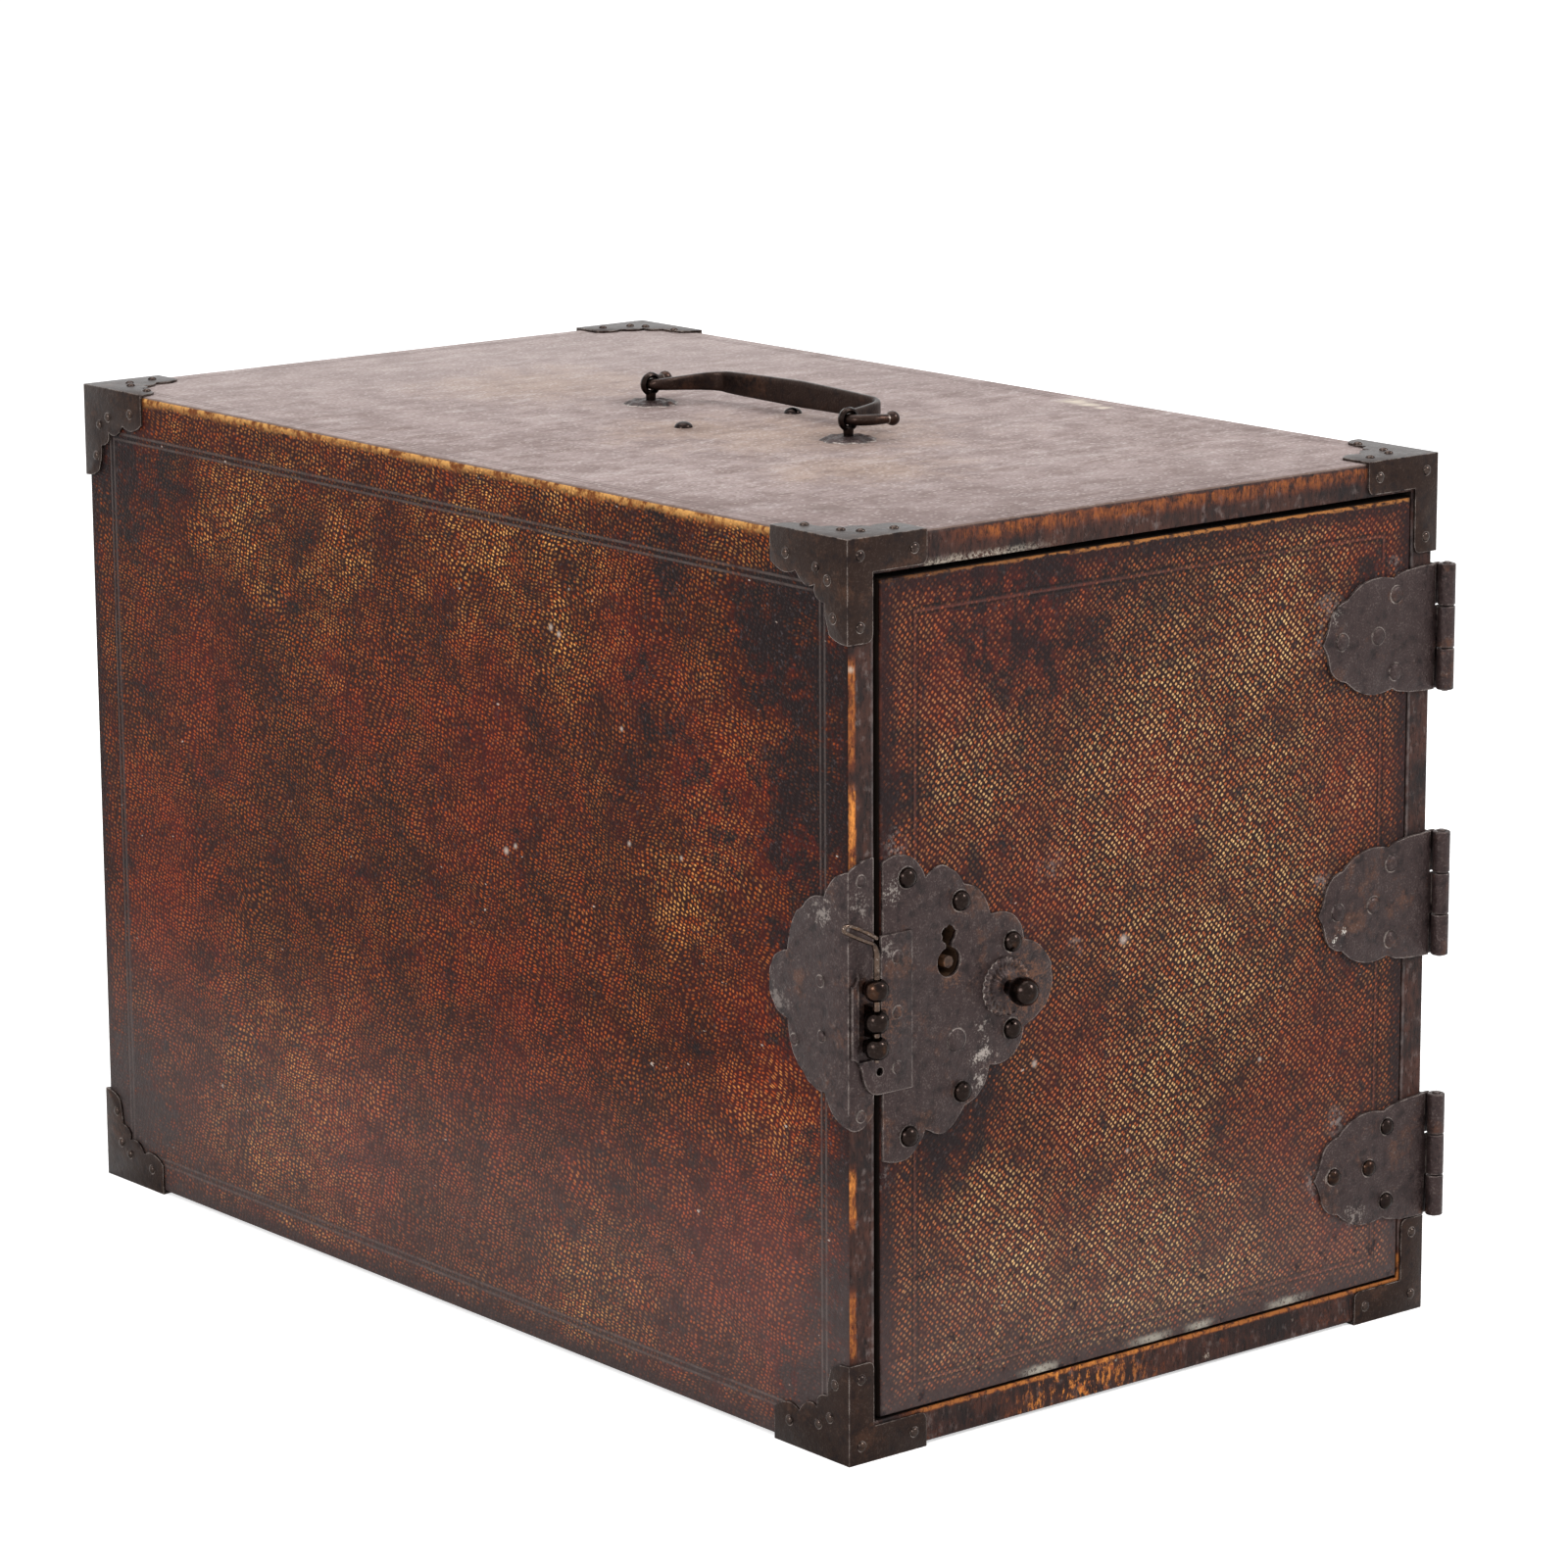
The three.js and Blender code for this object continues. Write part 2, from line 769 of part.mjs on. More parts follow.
// A staple eye: a rounded bead with an upright bore.
function eyeBead(z) {
  const half = eyeTall / 2;
  const profile = [
    [eyeBoreRadius, -half * 0.85],
    [eyeRadius * 0.58, -half],
    [eyeRadius * 0.88, -half * 0.8],
    [eyeRadius, -half * 0.3],
    [eyeRadius, half * 0.3],
    [eyeRadius * 0.88, half * 0.8],
    [eyeRadius * 0.58, half],
    [eyeBoreRadius, half * 0.85],
    [eyeBoreRadius, -half * 0.85],
  ];
  return turned(profile, roundSides, upwards).translate(pinAcross, pinY, z);
}

// Strike plate round the case's front edge, with its two staple eyes.
function buildStrike() {
  const lobeShares = [
    [0.2, 0.98, 0.3, 0.763],
    [0.47, 0.78, 0.565, 0.65],
    [0.74, 0.55, 0.76, 0.27],
    [0.98, 0.25, 1, 0],
  ];
  const nailShares = [
    [0.35, 0.1],
    [0.335, -0.33],
    [0.68, -0.42],
  ];
  const half = strikeTall / 2;
  const sideOutline = lobedOutline(1, lobeShares, strikeReach, half, strikeZ, strikeFront, 1);
  const stile = hollow.left - capLip;
  const middle = (strikeSide + stile) / 2;
  const over = strikeFrontOver;
  const [bottom, top] = [strikeZ - half, strikeZ + half];
  const front = new THREE.Shape();
  front.moveTo(strikeSide, bottom);
  front.quadraticCurveTo(middle, bottom - over, stile, bottom + over);
  front.lineTo(stile, top + over);
  front.quadraticCurveTo(middle, top + over, strikeSide, top);
  front.closePath();
  const sink = strikeSheet / 2;
  const nail = (direction) => dome(strikeNailRadius, strikeNailHeight, sink, direction);
  const plate = join(
    sideSheet(sideOutline, strikeSheet - seat, strikeSide),
    frontSheet(front, strikeSheet - seat, strikeFront),
    ...nailShares.map(([back, up]) =>
      nail(toLeft).translate(strikeSide, strikeReach * back, strikeZ + half * up),
    ),
    nail(toFront).translate(middle, strikeFront, bottom + over),
    nail(toFront).translate(middle, strikeFront, top - over),
  );
  piece("strike_plate", plate, "iron");
  for (const [name, z] of [["staple_upper", upperEyeZ], ["staple_lower", lowerEyeZ]]) {
    const neck = block(
      [pinAcross - eyeNeckWide / 2, pinY + eyeBoreRadius + running, z - eyeTall / 3],
      [pinAcross + eyeNeckWide / 2, strikeFront - seat, z + eyeTall / 3],
    );
    piece(name, join(eyeBead(z), neck), "iron");
  }
}

// Hasp plate riveted on the lock plate: its tongue reaches over the case, and a tall slot in it
// lets the staple eyes through. Its own eye is open at the back.
function buildHasp() {
  const slotLeft = pinAcross - eyeRadius - haspSlotGap;
  const slotRight = pinAcross + eyeRadius + haspSlotGap;
  const slotBottom = eyesBottom - pinBelow - running;
  const haspTip = slotLeft - haspTipWide;
  const turn = haspTip + eyeRadius;
  const tipTop = upperEyeZ + eyeTall / 4;
  const outline = new THREE.Shape();
  outline.moveTo(haspRight, haspBottom);
  outline.lineTo(pinAcross + eyeRadius, haspBottom);
  outline.quadraticCurveTo(pinAcross - eyeRadius / 2, haspBottom, turn, eyesBottom - eyeRadius);
  outline.quadraticCurveTo(haspTip + eyeRadius / 2, eyesBottom, haspTip, eyesBottom);
  outline.lineTo(haspTip, tipTop);
  outline.quadraticCurveTo(turn, tipTop, pinAcross, haspTop - eyeRadius);
  outline.quadraticCurveTo(pinAcross + eyeRadius / 2, haspTop, pinAcross + eyeRadius, haspTop);
  outline.lineTo(haspRight, haspTop);
  outline.closePath();
  const slot = block(
    [slotLeft, haspFront - cutOver, slotBottom],
    [slotRight, door.back, haspTop + cutOver],
  );
  const plate = cut(frontSheet(outline, haspSheet - seat, haspFront), slot);
  const half = pinRadius + running + running / 2;
  const open = block(
    [pinAcross - half, pinY, middleEyeZ - eyeTall],
    [pinAcross + half, 0, middleEyeZ + eyeTall],
  );
  const arm = block(
    [pinAcross + eyeRadius * 0.7, pinY - eyeBoreRadius, middleEyeZ - eyeTall * 0.4],
    [slotRight + leafSheet, haspFront + haspSheet / 2, middleEyeZ + eyeTall * 0.4],
  );
  const rivetX = (slotRight + haspRight) / 2 + haspSlotGap;
  const rivets = [0.15, 0.5, 0.85].map((share) =>
    dome(rivetRadius, rivetHeight, haspSheet / 2, toFront).translate(
      rivetX,
      haspFront,
      haspBottom + (haspTop - haspBottom) * share,
    ),
  );
  piece("hasp_plate", join(plate, cut(eyeBead(middleEyeZ), open), arm, ...rivets), "iron");
}

// Wire pin with a folded loop for a head.
function buildPin() {
  const bottom = eyesBottom - pinBelow;
  const straight = rod(pinRadius, [pinAcross, pinY, bottom], [pinAcross, pinY, haspTop], nailSides + 2);
  const loopShares = [
    [0, -0.1],
    [0.2, 0.34],
    [0.5, 0.74],
    [0.83, 1],
    [1, 0.87],
    [0.93, 0.53],
    [0.58, 0.16],
    [0.22, -0.3],
    [0, -0.6],
  ];
  const path = new THREE.CatmullRomCurve3(
    loopShares.map(
      ([back, up]) => new THREE.Vector3(pinAcross - loopLong * back, pinY, haspTop + loopRise * up),
    ),
  );
  piece("lock_pin", join(straight, wire(path, pinRadius, loopSteps, nailSides)), "iron");
}

// A round wire along a curve.
function wire(path, radius, steps, sides) {
  const section = new THREE.Shape();
  for (let i = 0; i < sides; i += 1) {
    const angle = (i / sides) * Math.PI * 2;
    const [x, y] = [Math.cos(angle) * radius, Math.sin(angle) * radius];
    if (i === 0) section.moveTo(x, y);
    else section.lineTo(x, y);
  }
  section.closePath();
  return new THREE.ExtrudeGeometry(section, { steps, extrudePath: path, bevelEnabled: false });
}

// Lock behind the door: an open case, the post the key turns on, the bolt, its spring, and the
// keeper on the case's left board.
function buildLock() {
  const back = door.back + lockCaseDeep;
  const right = knobX - knobBurrRadius - slack;
  const bottom = lockZ - lockCaseBelow;
  const top = lockZ + lockCaseAbove;
  const wall = lockCaseSheet;
  const boltFront = door.back + boltSetBack;
  const boltBack = boltFront + boltThick;
  const boltBottom = lockZ - boltBelow;
  const boltTop = boltBottom + boltTall;
  const shell = block([lockCaseLeft, door.back + seat, bottom], [right, back, top]);
  const inside = block(
    [lockCaseLeft + wall, door.back - cutOver, bottom + wall],
    [right - wall, back - wall, top - wall],
  );
  const gate = block(
    [lockCaseLeft - cutOver, boltFront - boltClear, boltBottom - boltClear],
    [lockCaseLeft + wall + cutOver, boltBack + boltClear, boltTop + boltClear],
  );
  piece("lock_case", cut(shell, inside, gate), "iron");
  piece(
    "key_post",
    rod(keyPostRadius, [keyX, lockFront + running, keyZ], [keyX, back - wall - seat, keyZ], nailSides + 2),
    "iron",
  );
  const keeperRight = hollow.left + boltTravel;
  const boltTip = keeperRight + boltTipClear;
  const boltEnd = right - wall - boltBehind;
  piece("lock_bolt", block([boltTip, boltFront, boltBottom], [boltEnd, boltBack, boltTop]), "iron");

  // The spring is an arched strip from the case's right wall down to the bolt's top.
  const springFoot = right - wall - seat;
  const springTip = (boltTip + boltEnd) / 2;
  const low = boltTop + running;
  const strip = new THREE.Shape();
  strip.moveTo(springTip, low);
  strip.quadraticCurveTo((springTip + springFoot) / 2, low, springFoot, low + springRise);
  strip.lineTo(springFoot, low + springRise + springSheet);
  strip.quadraticCurveTo((springTip + springFoot) / 2, low + springSheet, springTip, low + springSheet);
  strip.closePath();
  piece("lock_spring", frontSheet(strip, boltThick, boltFront), "iron");

  const open = boltClear;
  const ring = block(
    [hollow.left + seat, boltFront - open - keeperWall, boltBottom - open - keeperWall],
    [keeperRight, boltBack + open + keeperWall, boltTop + open + keeperWall],
  );
  const gap = block(
    [hollow.left - cutOver, boltFront - open, boltBottom - open],
    [keeperRight + cutOver, boltBack + open, boltTop + open],
  );
  piece("bolt_keeper", cut(ring, gap), "iron");
}

// Ring posts with their rosettes: each shank goes through the top and is burred over inside.
function buildPosts() {
  for (const [name, y] of [["front", frontPostY], ["back", backPostY]]) {
    const half = postRingThick / 2;
    const ring = [
      [postHoleRadius, -half * 0.5],
      [postRingRadius * 0.75, -half],
      [postRingRadius, -half * 0.4],
      [postRingRadius, half * 0.4],
      [postRingRadius * 0.75, half],
      [postHoleRadius, half * 0.5],
      [postHoleRadius, -half * 0.5],
    ];
    const burrTop = hollow.top - seat;
    const burr = rod(knobBurrRadius, [postLineX, y, burrTop - burrSheet], [postLineX, y, burrTop]);
    const shank = rod(
      postShankRadius,
      [postLineX, y, burrTop - burrSheet / 2],
      [postLineX, y, postZ - (postRingRadius + postHoleRadius) / 2],
    );
    const bead = turned(ring, roundSides, toBack).translate(postLineX, y, postZ);
    piece(`handle_post_${name}`, join(bead, shank, burr), "iron");
    const disc = rosetteDisc(postRosetteRadius, postRosetteThick, postShankRadius + running, upwards);
    piece(`handle_rosette_${name}`, disc.translate(postLineX, y, leather.top + seat), "iron");
  }
  for (const [name, x] of [["left", leftStudX], ["right", rightStudX]]) {
    const rise = pivotUp - bailGripTall / 2 - running;
    const head = dome(studRadius, rise, 0, upwards, nailSides + 2).translate(x, studY, leather.top + seat);
    const shank = rod(
      studShankRadius,
      [x, studY, leather.top - studShankLong],
      [x, studY, leather.top + rise / 2],
      nailSides,
    );
    piece(`stop_stud_${name}`, join(head, shank), "iron");
  }
}

// The bail, folded down to the right: a strap on edge whose arms thin to rods. Each rod passes
// through its post's ring and curls back outwards to a knobbed tip.
function buildBail() {
  const middleY = (frontPostY + backPostY) / 2;
  const halfLong = (backPostY - frontPostY) / 2;
  const cornerHalf = halfLong - bailCornerInset;
  const armStart = postRingThick;
  const plan = new THREE.Shape();
  const inner = bailReach - bailSheet;
  const armHalf = halfLong - armStart;
  plan.moveTo(0, armHalf + bailSheet / 2);
  plan.lineTo(bailReach, cornerHalf + bailSheet / 2);
  plan.quadraticCurveTo(bailReach + bailBow * 2, 0, bailReach, -cornerHalf - bailSheet / 2);
  plan.lineTo(0, -armHalf - bailSheet / 2);
  plan.lineTo(0, -armHalf + bailSheet / 2);
  plan.lineTo(inner, -cornerHalf + bailSheet / 2);
  plan.quadraticCurveTo(inner + bailBow * 2, 0, inner, cornerHalf - bailSheet / 2);
  plan.lineTo(0, armHalf - bailSheet / 2);
  plan.closePath();
  const planSheet = sheet(plan, bailGripTall, curveSteps * 2).translate(0, 0, -bailGripTall / 2);

  // Seen from the side the strap is tallest in the middle and thin at the rings.
  const side = new THREE.Shape();
  const end = halfLong;
  side.moveTo(-end, -bailArmTall / 2);
  side.lineTo(-cornerHalf, -bailCornerTall / 2);
  side.quadraticCurveTo(-cornerHalf / 2, -bailGripTall / 2, 0, -bailGripTall / 2);
  side.quadraticCurveTo(cornerHalf / 2, -bailGripTall / 2, cornerHalf, -bailCornerTall / 2);
  side.lineTo(end, -bailArmTall / 2);
  side.lineTo(end, bailArmTall / 2);
  side.lineTo(cornerHalf, bailCornerTall / 2);
  side.quadraticCurveTo(cornerHalf / 2, bailGripTall / 2, 0, bailGripTall / 2);
  side.quadraticCurveTo(-cornerHalf / 2, bailGripTall / 2, -cornerHalf, bailCornerTall / 2);
  side.lineTo(-end, bailArmTall / 2);
  side.closePath();
  const farSide = bailReach + bailBow * 2 + cutOver;
  const sideSolid = sideSheet(side, farSide + cutOver, -cutOver);
  const strap = meet(planSheet, sideSolid);

  const ends = [1, -1].flatMap((way) => {
    const from = halfLong - armStart - bailSheet / 2;
    const path = new THREE.CatmullRomCurve3([
      new THREE.Vector3(bailRodRadius * 2, way * (from - bailRodRadius / 2), 0),
      new THREE.Vector3(0, way * (halfLong - armStart), 0),
      new THREE.Vector3(0, way * halfLong, 0),
      new THREE.Vector3(0, way * (halfLong + armStart), 0),
      new THREE.Vector3(bailRodRadius * 1.5, way * (halfLong + bailTipOut * 0.7), 0),
      new THREE.Vector3(bailTipReach, way * (halfLong + bailTipOut), 0),
    ]);
    const tip = new THREE.SphereGeometry(bailKnobRadius, nailSides + 2, nailSides);
    return [
      wire(path, bailRodRadius, bailEndSteps, nailSides + 2),
      tip.translate(bailTipReach, way * (halfLong + bailTipOut), 0),
    ];
  });
  const bail = join(strap, ...ends).translate(postLineX, middleY, postZ);
  piece("bail_handle", bail, "iron");
}

// Inner sides and shelves, and the three drawers that run between them.
function buildDrawers() {
  const front = drawerFace;
  const left = hollow.left + innerSide;
  const right = hollow.right - innerSide;
  const back = hollow.back;
  piece(
    "inner_side_left",
    block([hollow.left, front, hollow.bottom], [left, back, hollow.top]),
    "wood",
  );
  piece(
    "inner_side_right",
    block([right, front, hollow.bottom], [hollow.right, back, hollow.top]),
    "wood",
  );
  const room = hollow.top - hollow.bottom - shelf * (drawerNames.length - 1);
  let floor = hollow.bottom;
  drawerNames.forEach((name, i) => {
    const bay = room * drawerHeightShares[i];
    buildDrawer(name, left + slack, right - slack, front, floor + running, floor + bay - drawerHeadroom);
    if (i < drawerNames.length - 1) {
      const under = floor + bay;
      const shelfName = i === 0 ? "shelf_lower" : "shelf_upper";
      piece(shelfName, block([left, front, under], [right, back, under + shelf]), "wood");
      floor = under + shelf;
    }
  });
}

function buildDrawer(name, left, right, front, bottom, top) {
  const back = hollow.back - drawerBehind;
  const middleX = (left + right) / 2;
  const middleZ = (bottom + top) / 2;
  const box = block([left, front, bottom], [right, back, top]);
  const inside = block(
    [left + drawerWall, front + drawerFront, bottom + drawerBottom],
    [right - drawerWall, back - drawerWall, top + cutOver],
  );
  const hole = rod(
    pullShankRadius + running,
    [middleX, front - cutOver, middleZ],
    [middleX, front + drawerFront + cutOver, middleZ],
    nailSides + 2,
  );
  piece(`drawer_${name}_box`, cut(box, inside, hole), "drawer_wood");

  const ball = pullRosetteThick + pullOut;
  const burr = -drawerFront - seat;
  const profile = [
    [0, burr - burrSheet],
    [pullShankRadius * 2, burr - burrSheet],
    [pullShankRadius * 2, burr],
    [pullShankRadius, burr],
    [pullShankRadius, seat],
    [pullRosetteRadius, seat],
    [pullRosetteRadius * 0.9, pullRosetteThick],
    [pullNeckRadius, pullRosetteThick],
    [pullNeckRadius, ball - pullBallRadius * 0.8],
    [pullBallRadius, ball],
    [0, ball + pullBallRadius],
  ];
  const pull = turned(profile, roundSides, toFront).translate(middleX, front, middleZ);
  piece(`drawer_${name}_pull`, pull, "iron");
}

buildBoards();
buildLeather();
buildCaps();
buildHinge("lower", lowerHingeZ);
buildHinge("middle", (lowerHingeZ + upperHingeZ) / 2);
buildHinge("upper", upperHingeZ);
buildDoor();
buildKnob();
buildStrike();
buildHasp();
buildPin();
buildLock();
buildPosts();
buildBail();
buildDrawers();

// The chest's own zero point is the middle of its base.
const box = new THREE.Box3().setFromObject(chest, true);
chest.position.set(-(box.min.x + box.max.x) / 2, -(box.min.y + box.max.y) / 2, -box.min.z);

export default chest;
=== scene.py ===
"""The sea chest's looks: tooled leather, forged iron and old boards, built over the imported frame."""

import math

import bmesh
import bpy
from mathutils import Matrix, Vector, noise


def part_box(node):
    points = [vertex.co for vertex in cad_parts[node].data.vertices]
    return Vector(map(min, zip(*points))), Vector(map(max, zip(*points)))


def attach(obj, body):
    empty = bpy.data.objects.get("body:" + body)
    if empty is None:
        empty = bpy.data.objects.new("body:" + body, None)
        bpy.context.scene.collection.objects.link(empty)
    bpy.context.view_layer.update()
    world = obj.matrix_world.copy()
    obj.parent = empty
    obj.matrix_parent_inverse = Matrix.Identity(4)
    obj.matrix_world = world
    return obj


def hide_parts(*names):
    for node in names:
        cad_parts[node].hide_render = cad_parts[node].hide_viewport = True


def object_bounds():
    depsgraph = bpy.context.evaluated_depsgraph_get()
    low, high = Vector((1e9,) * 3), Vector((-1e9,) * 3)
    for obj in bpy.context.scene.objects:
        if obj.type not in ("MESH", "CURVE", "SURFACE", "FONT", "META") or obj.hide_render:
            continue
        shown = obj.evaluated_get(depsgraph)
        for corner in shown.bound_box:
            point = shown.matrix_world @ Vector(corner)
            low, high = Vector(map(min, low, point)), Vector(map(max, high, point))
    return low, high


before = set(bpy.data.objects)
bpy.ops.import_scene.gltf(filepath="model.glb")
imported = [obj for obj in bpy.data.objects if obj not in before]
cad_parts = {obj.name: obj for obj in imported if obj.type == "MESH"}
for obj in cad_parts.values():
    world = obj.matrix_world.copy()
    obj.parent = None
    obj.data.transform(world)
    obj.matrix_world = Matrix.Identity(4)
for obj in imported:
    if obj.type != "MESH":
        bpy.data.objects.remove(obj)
cad_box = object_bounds()
MM = 0.001

# Camera, placed from the caps' outer front-left-bottom corner
CAMERA_PLACE = Vector((-1.2777, -1.5259, 0.7012))
CAMERA_WAY = Vector((0.61810, 0.75579, -0.21620))
CAMERA_ROLL = math.radians(-0.28)
CAMERA_LENS = 129.29
CAMERA_SENSOR = 36.0
CAMERA_CLIP = 50

# Lamps: name, place, size and power. All aim at one spot
LAMP_AIM = Vector((0, 0, 0.15))
LAMPS = (
    ("key", (1.6, -2.4, 2.6), (0.8, 0.7), 55),
    ("fill", (-3.0, -0.8, 1.6), (1.0, 1.0), 40),
    ("above", (0.0, 0.6, 3.0), (2.4, 2.4), 40),
)
SKY_LIGHT = 0.55
FLOOR_GLOW = 0.55
FLOOR_HALF = 6.0
WHITE = (1, 1, 1, 1)
PAPER = (0.9, 0.9, 0.9, 1)

# Sheets, seats and roundings
CAP_SHEET = 1.0 * MM
SEAT = 0.05 * MM
PLATE_ROUND = 0.28 * MM
HAND_CUT = 0.25 * MM
HAND_CUT_SIZE = 4 * MM
LEATHER_ROUND = 1.7 * MM
RIM_ROUND = 0.5 * MM
DOOR_ROUND = 0.8 * MM
WELD = 0.001 * MM
SLIVER = 0.002 * MM
ROUNDED_ANGLE = math.radians(40)
CURVE_STEPS = 9
DOME_RINGS = 6
DOME_SIDES = 20
DOME_SUNK = 0.3 * MM
DOME_BASE_SHARE = 0.96
LEAN_SHARE = 0.12
LEAN_SIZE = 2.5 * MM
LEAN_SEED = 7
LATHE_SIDES = 40
WIRE_SIDES = 14
BAR_STEPS = 4
BAR_SQUARENESS = 4

TO_FRONT = Vector((0, -1, 0))
TO_LEFT = Vector((-1, 0, 0))
TO_RIGHT = Vector((1, 0, 0))
UP = Vector((0, 0, 1))

# The nails lean by a noise that is the same each time
noise.seed_set(LEAN_SEED)


# Places on the chest, from the frame
def low(node):
    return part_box(node)[0]


def high(node):
    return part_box(node)[1]


def middle_of(node):
    return (low(node) + high(node)) / 2


LEFT = low("leather_left").x
RIGHT = high("leather_right").x
FRONT = low("leather_front_rim").y
BACK = high("leather_back").y
BOTTOM = low("leather_bottom").z
TOP = high("leather_top").z
MOUTH_LOW = Vector((high("case_left_board").x, FRONT, high("case_bottom_board").z))
MOUTH_HIGH = Vector((low("case_right_board").x, FRONT, low("case_top_board").z))
SKIN = high("leather_left").x - LEFT
DOOR_LOW, DOOR_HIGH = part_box("door_leather")
CORNER = Vector((LEFT, FRONT, BOTTOM)) - Vector((CAP_SHEET, CAP_SHEET, CAP_SHEET))


def of_chest(x, y, z):
    """A place that was measured in millimetres from the caps' front-left-bottom corner."""
    return CORNER + Vector((x, y, z)) * MM


def tone(red, green, blue):
    """A colour as seen on a screen, 0 to 255, as the linear colour that a shader takes."""
    linear = []
    for value in (red, green, blue):
        share = value / 255
        linear.append(share / 12.92 if share <= 0.04045 else ((share + 0.055) / 1.055) ** 2.4)
    return (*linear, 1.0)


# A material's nodes, written as sums of fields
CORNER_COSINES = (0.995, 0.9)


class Field:
    """One number that varies over a surface."""

    def __init__(self, tree, socket):
        self.tree = tree
        self.socket = socket

    def math(self, operation, *values):
        node = add_node(self.tree, "Math", dict(enumerate(values)), operation=operation)
        return Field(self.tree, node.outputs[0])

    def __add__(self, other):
        return self.math("ADD", self, other)

    def __radd__(self, other):
        return self.math("ADD", other, self)

    def __sub__(self, other):
        return self.math("SUBTRACT", self, other)

    def __rsub__(self, other):
        return self.math("SUBTRACT", other, self)

    def __mul__(self, other):
        return self.math("MULTIPLY", self, other)

    def __rmul__(self, other):
        return self.math("MULTIPLY", other, self)

    def least(self, other):
        return self.math("MINIMUM", self, other)

    def most(self, other):
        return self.math("MAXIMUM", self, other)

    def size(self):
        return self.math("ABSOLUTE", self)

    def rise(self, start, end):
        """0 at start and 1 at end, smoothly. It works the other way where start is the larger."""
        sockets = {"Value": self, "From Min": start, "From Max": end}
        node = add_node(self.tree, "MapRange", sockets, interpolation_type="SMOOTHSTEP")
        return Field(self.tree, node.outputs[0])


def plug(tree, value, socket):
    """Links a field or a socket to a socket, or sets a plain value on it."""
    if isinstance(value, Field):
        tree.links.new(value.socket, socket)
    elif isinstance(value, bpy.types.NodeSocket):
        tree.links.new(value, socket)
    else:
        socket.default_value = value


def add_node(tree, kind, sockets, **settings):
    """A new node with those settings, and with its sockets plugged."""
    node = tree.nodes.new(f"ShaderNode{kind}")
    for setting, value in settings.items():
        setattr(node, setting, value)
    for socket, value in sockets.items():
        plug(tree, value, node.inputs[socket])
    return node


class Paint:
    """A material whose patterns are worked out from the place on the chest."""

    def __init__(self, name):
        self.material = bpy.data.materials.new(name)
        self.material.use_nodes = True
        self.tree = self.material.node_tree
        self.shader = self.tree.nodes["Principled BSDF"]
        self.colour = WHITE
        self.place = add_node(self.tree, "TexCoord", {}).outputs["Object"]
        split = add_node(self.tree, "SeparateXYZ", {0: self.place})
        self.x, self.y, self.z = (Field(self.tree, split.outputs[i]) for i in range(3))

    def cloud(self, size, detail=3.0, rough=0.55, stretch=(1, 1, 1), shift=0.0):
        """A soft noise around 0.5 with lumps of that size, stretched by axis."""
        moved = add_node(self.tree, "VectorMath", {0: self.place, 1: stretch}, operation="MULTIPLY")
        sockets = {"Vector": moved.outputs[0], "W": shift}
        sockets |= {"Scale": 1 / size, "Detail": detail, "Roughness": rough}
        node = add_node(self.tree, "TexNoise", sockets, noise_dimensions="4D")
        return Field(self.tree, node.outputs[0])

    def distance(self, place, spot):
        """How far a place is from one spot."""
        node = add_node(self.tree, "VectorMath", {0: place, 1: spot}, operation="DISTANCE")
        return Field(self.tree, node.outputs["Value"])

    def corners(self, reach):
        """1 along edges and inner corners of the mesh, out to about that far from them, and 0 elsewhere."""
        soft = add_node(self.tree, "Bevel", {"Radius": reach}).outputs[0]
        hard = add_node(self.tree, "NewGeometry", {}).outputs["Normal"]
        turn = add_node(self.tree, "VectorMath", {0: soft, 1: hard}, operation="DOT_PRODUCT")
        return Field(self.tree, turn.outputs["Value"]).rise(*CORNER_COSINES)

    def mix(self, share, first, second):
        return add_node(self.tree, "Mix", {0: share, 6: first, 7: second}, data_type="RGBA").outputs[2]

    def coat(self, share, shade):
        """Lays that share of a shade over the colour so far."""
        self.colour = self.mix(share, self.colour, shade)

    def finish(self, roughness, height, depth, metal=0.0, shine=0.5):
        """Sets the shader. height times depth is the relief, in metres."""
        bump = add_node(self.tree, "Bump", {"Strength": 1.0, "Distance": depth, "Height": height})
        sockets = {
            "Base Color": self.colour,
            "Roughness": roughness,
            "Metallic": metal,
            "Specular IOR Level": shine,
            "Normal": bump.outputs[0],
        }
        for name, value in sockets.items():
            plug(self.tree, value, self.shader.inputs[name])
        return self.material


# Tooled leather
FLECK_SIZE = 4 * MM
PATCH_SIZE = 20 * MM
BROAD_SIZE = 80 * MM
SWAY_SIZE = 32 * MM
MOTTLE_SIZE = 9 * MM
BLOOM_SIZE = 2.2 * MM
SCRATCH_SIZE = 2.4 * MM
CRUMB_SIZE = 2 * MM
RAGGED = 2.2
TOOL_HALF = 1.3 * MM
# Painted reflection of the floor on the leather: how far below its start it is full, and its tone
FLOOR_REFLECTION_REACH = -110
FLOOR_REFLECTION_TONE = tone(186, 168, 164)
SCRATCH_TONE = tone(196, 180, 168)


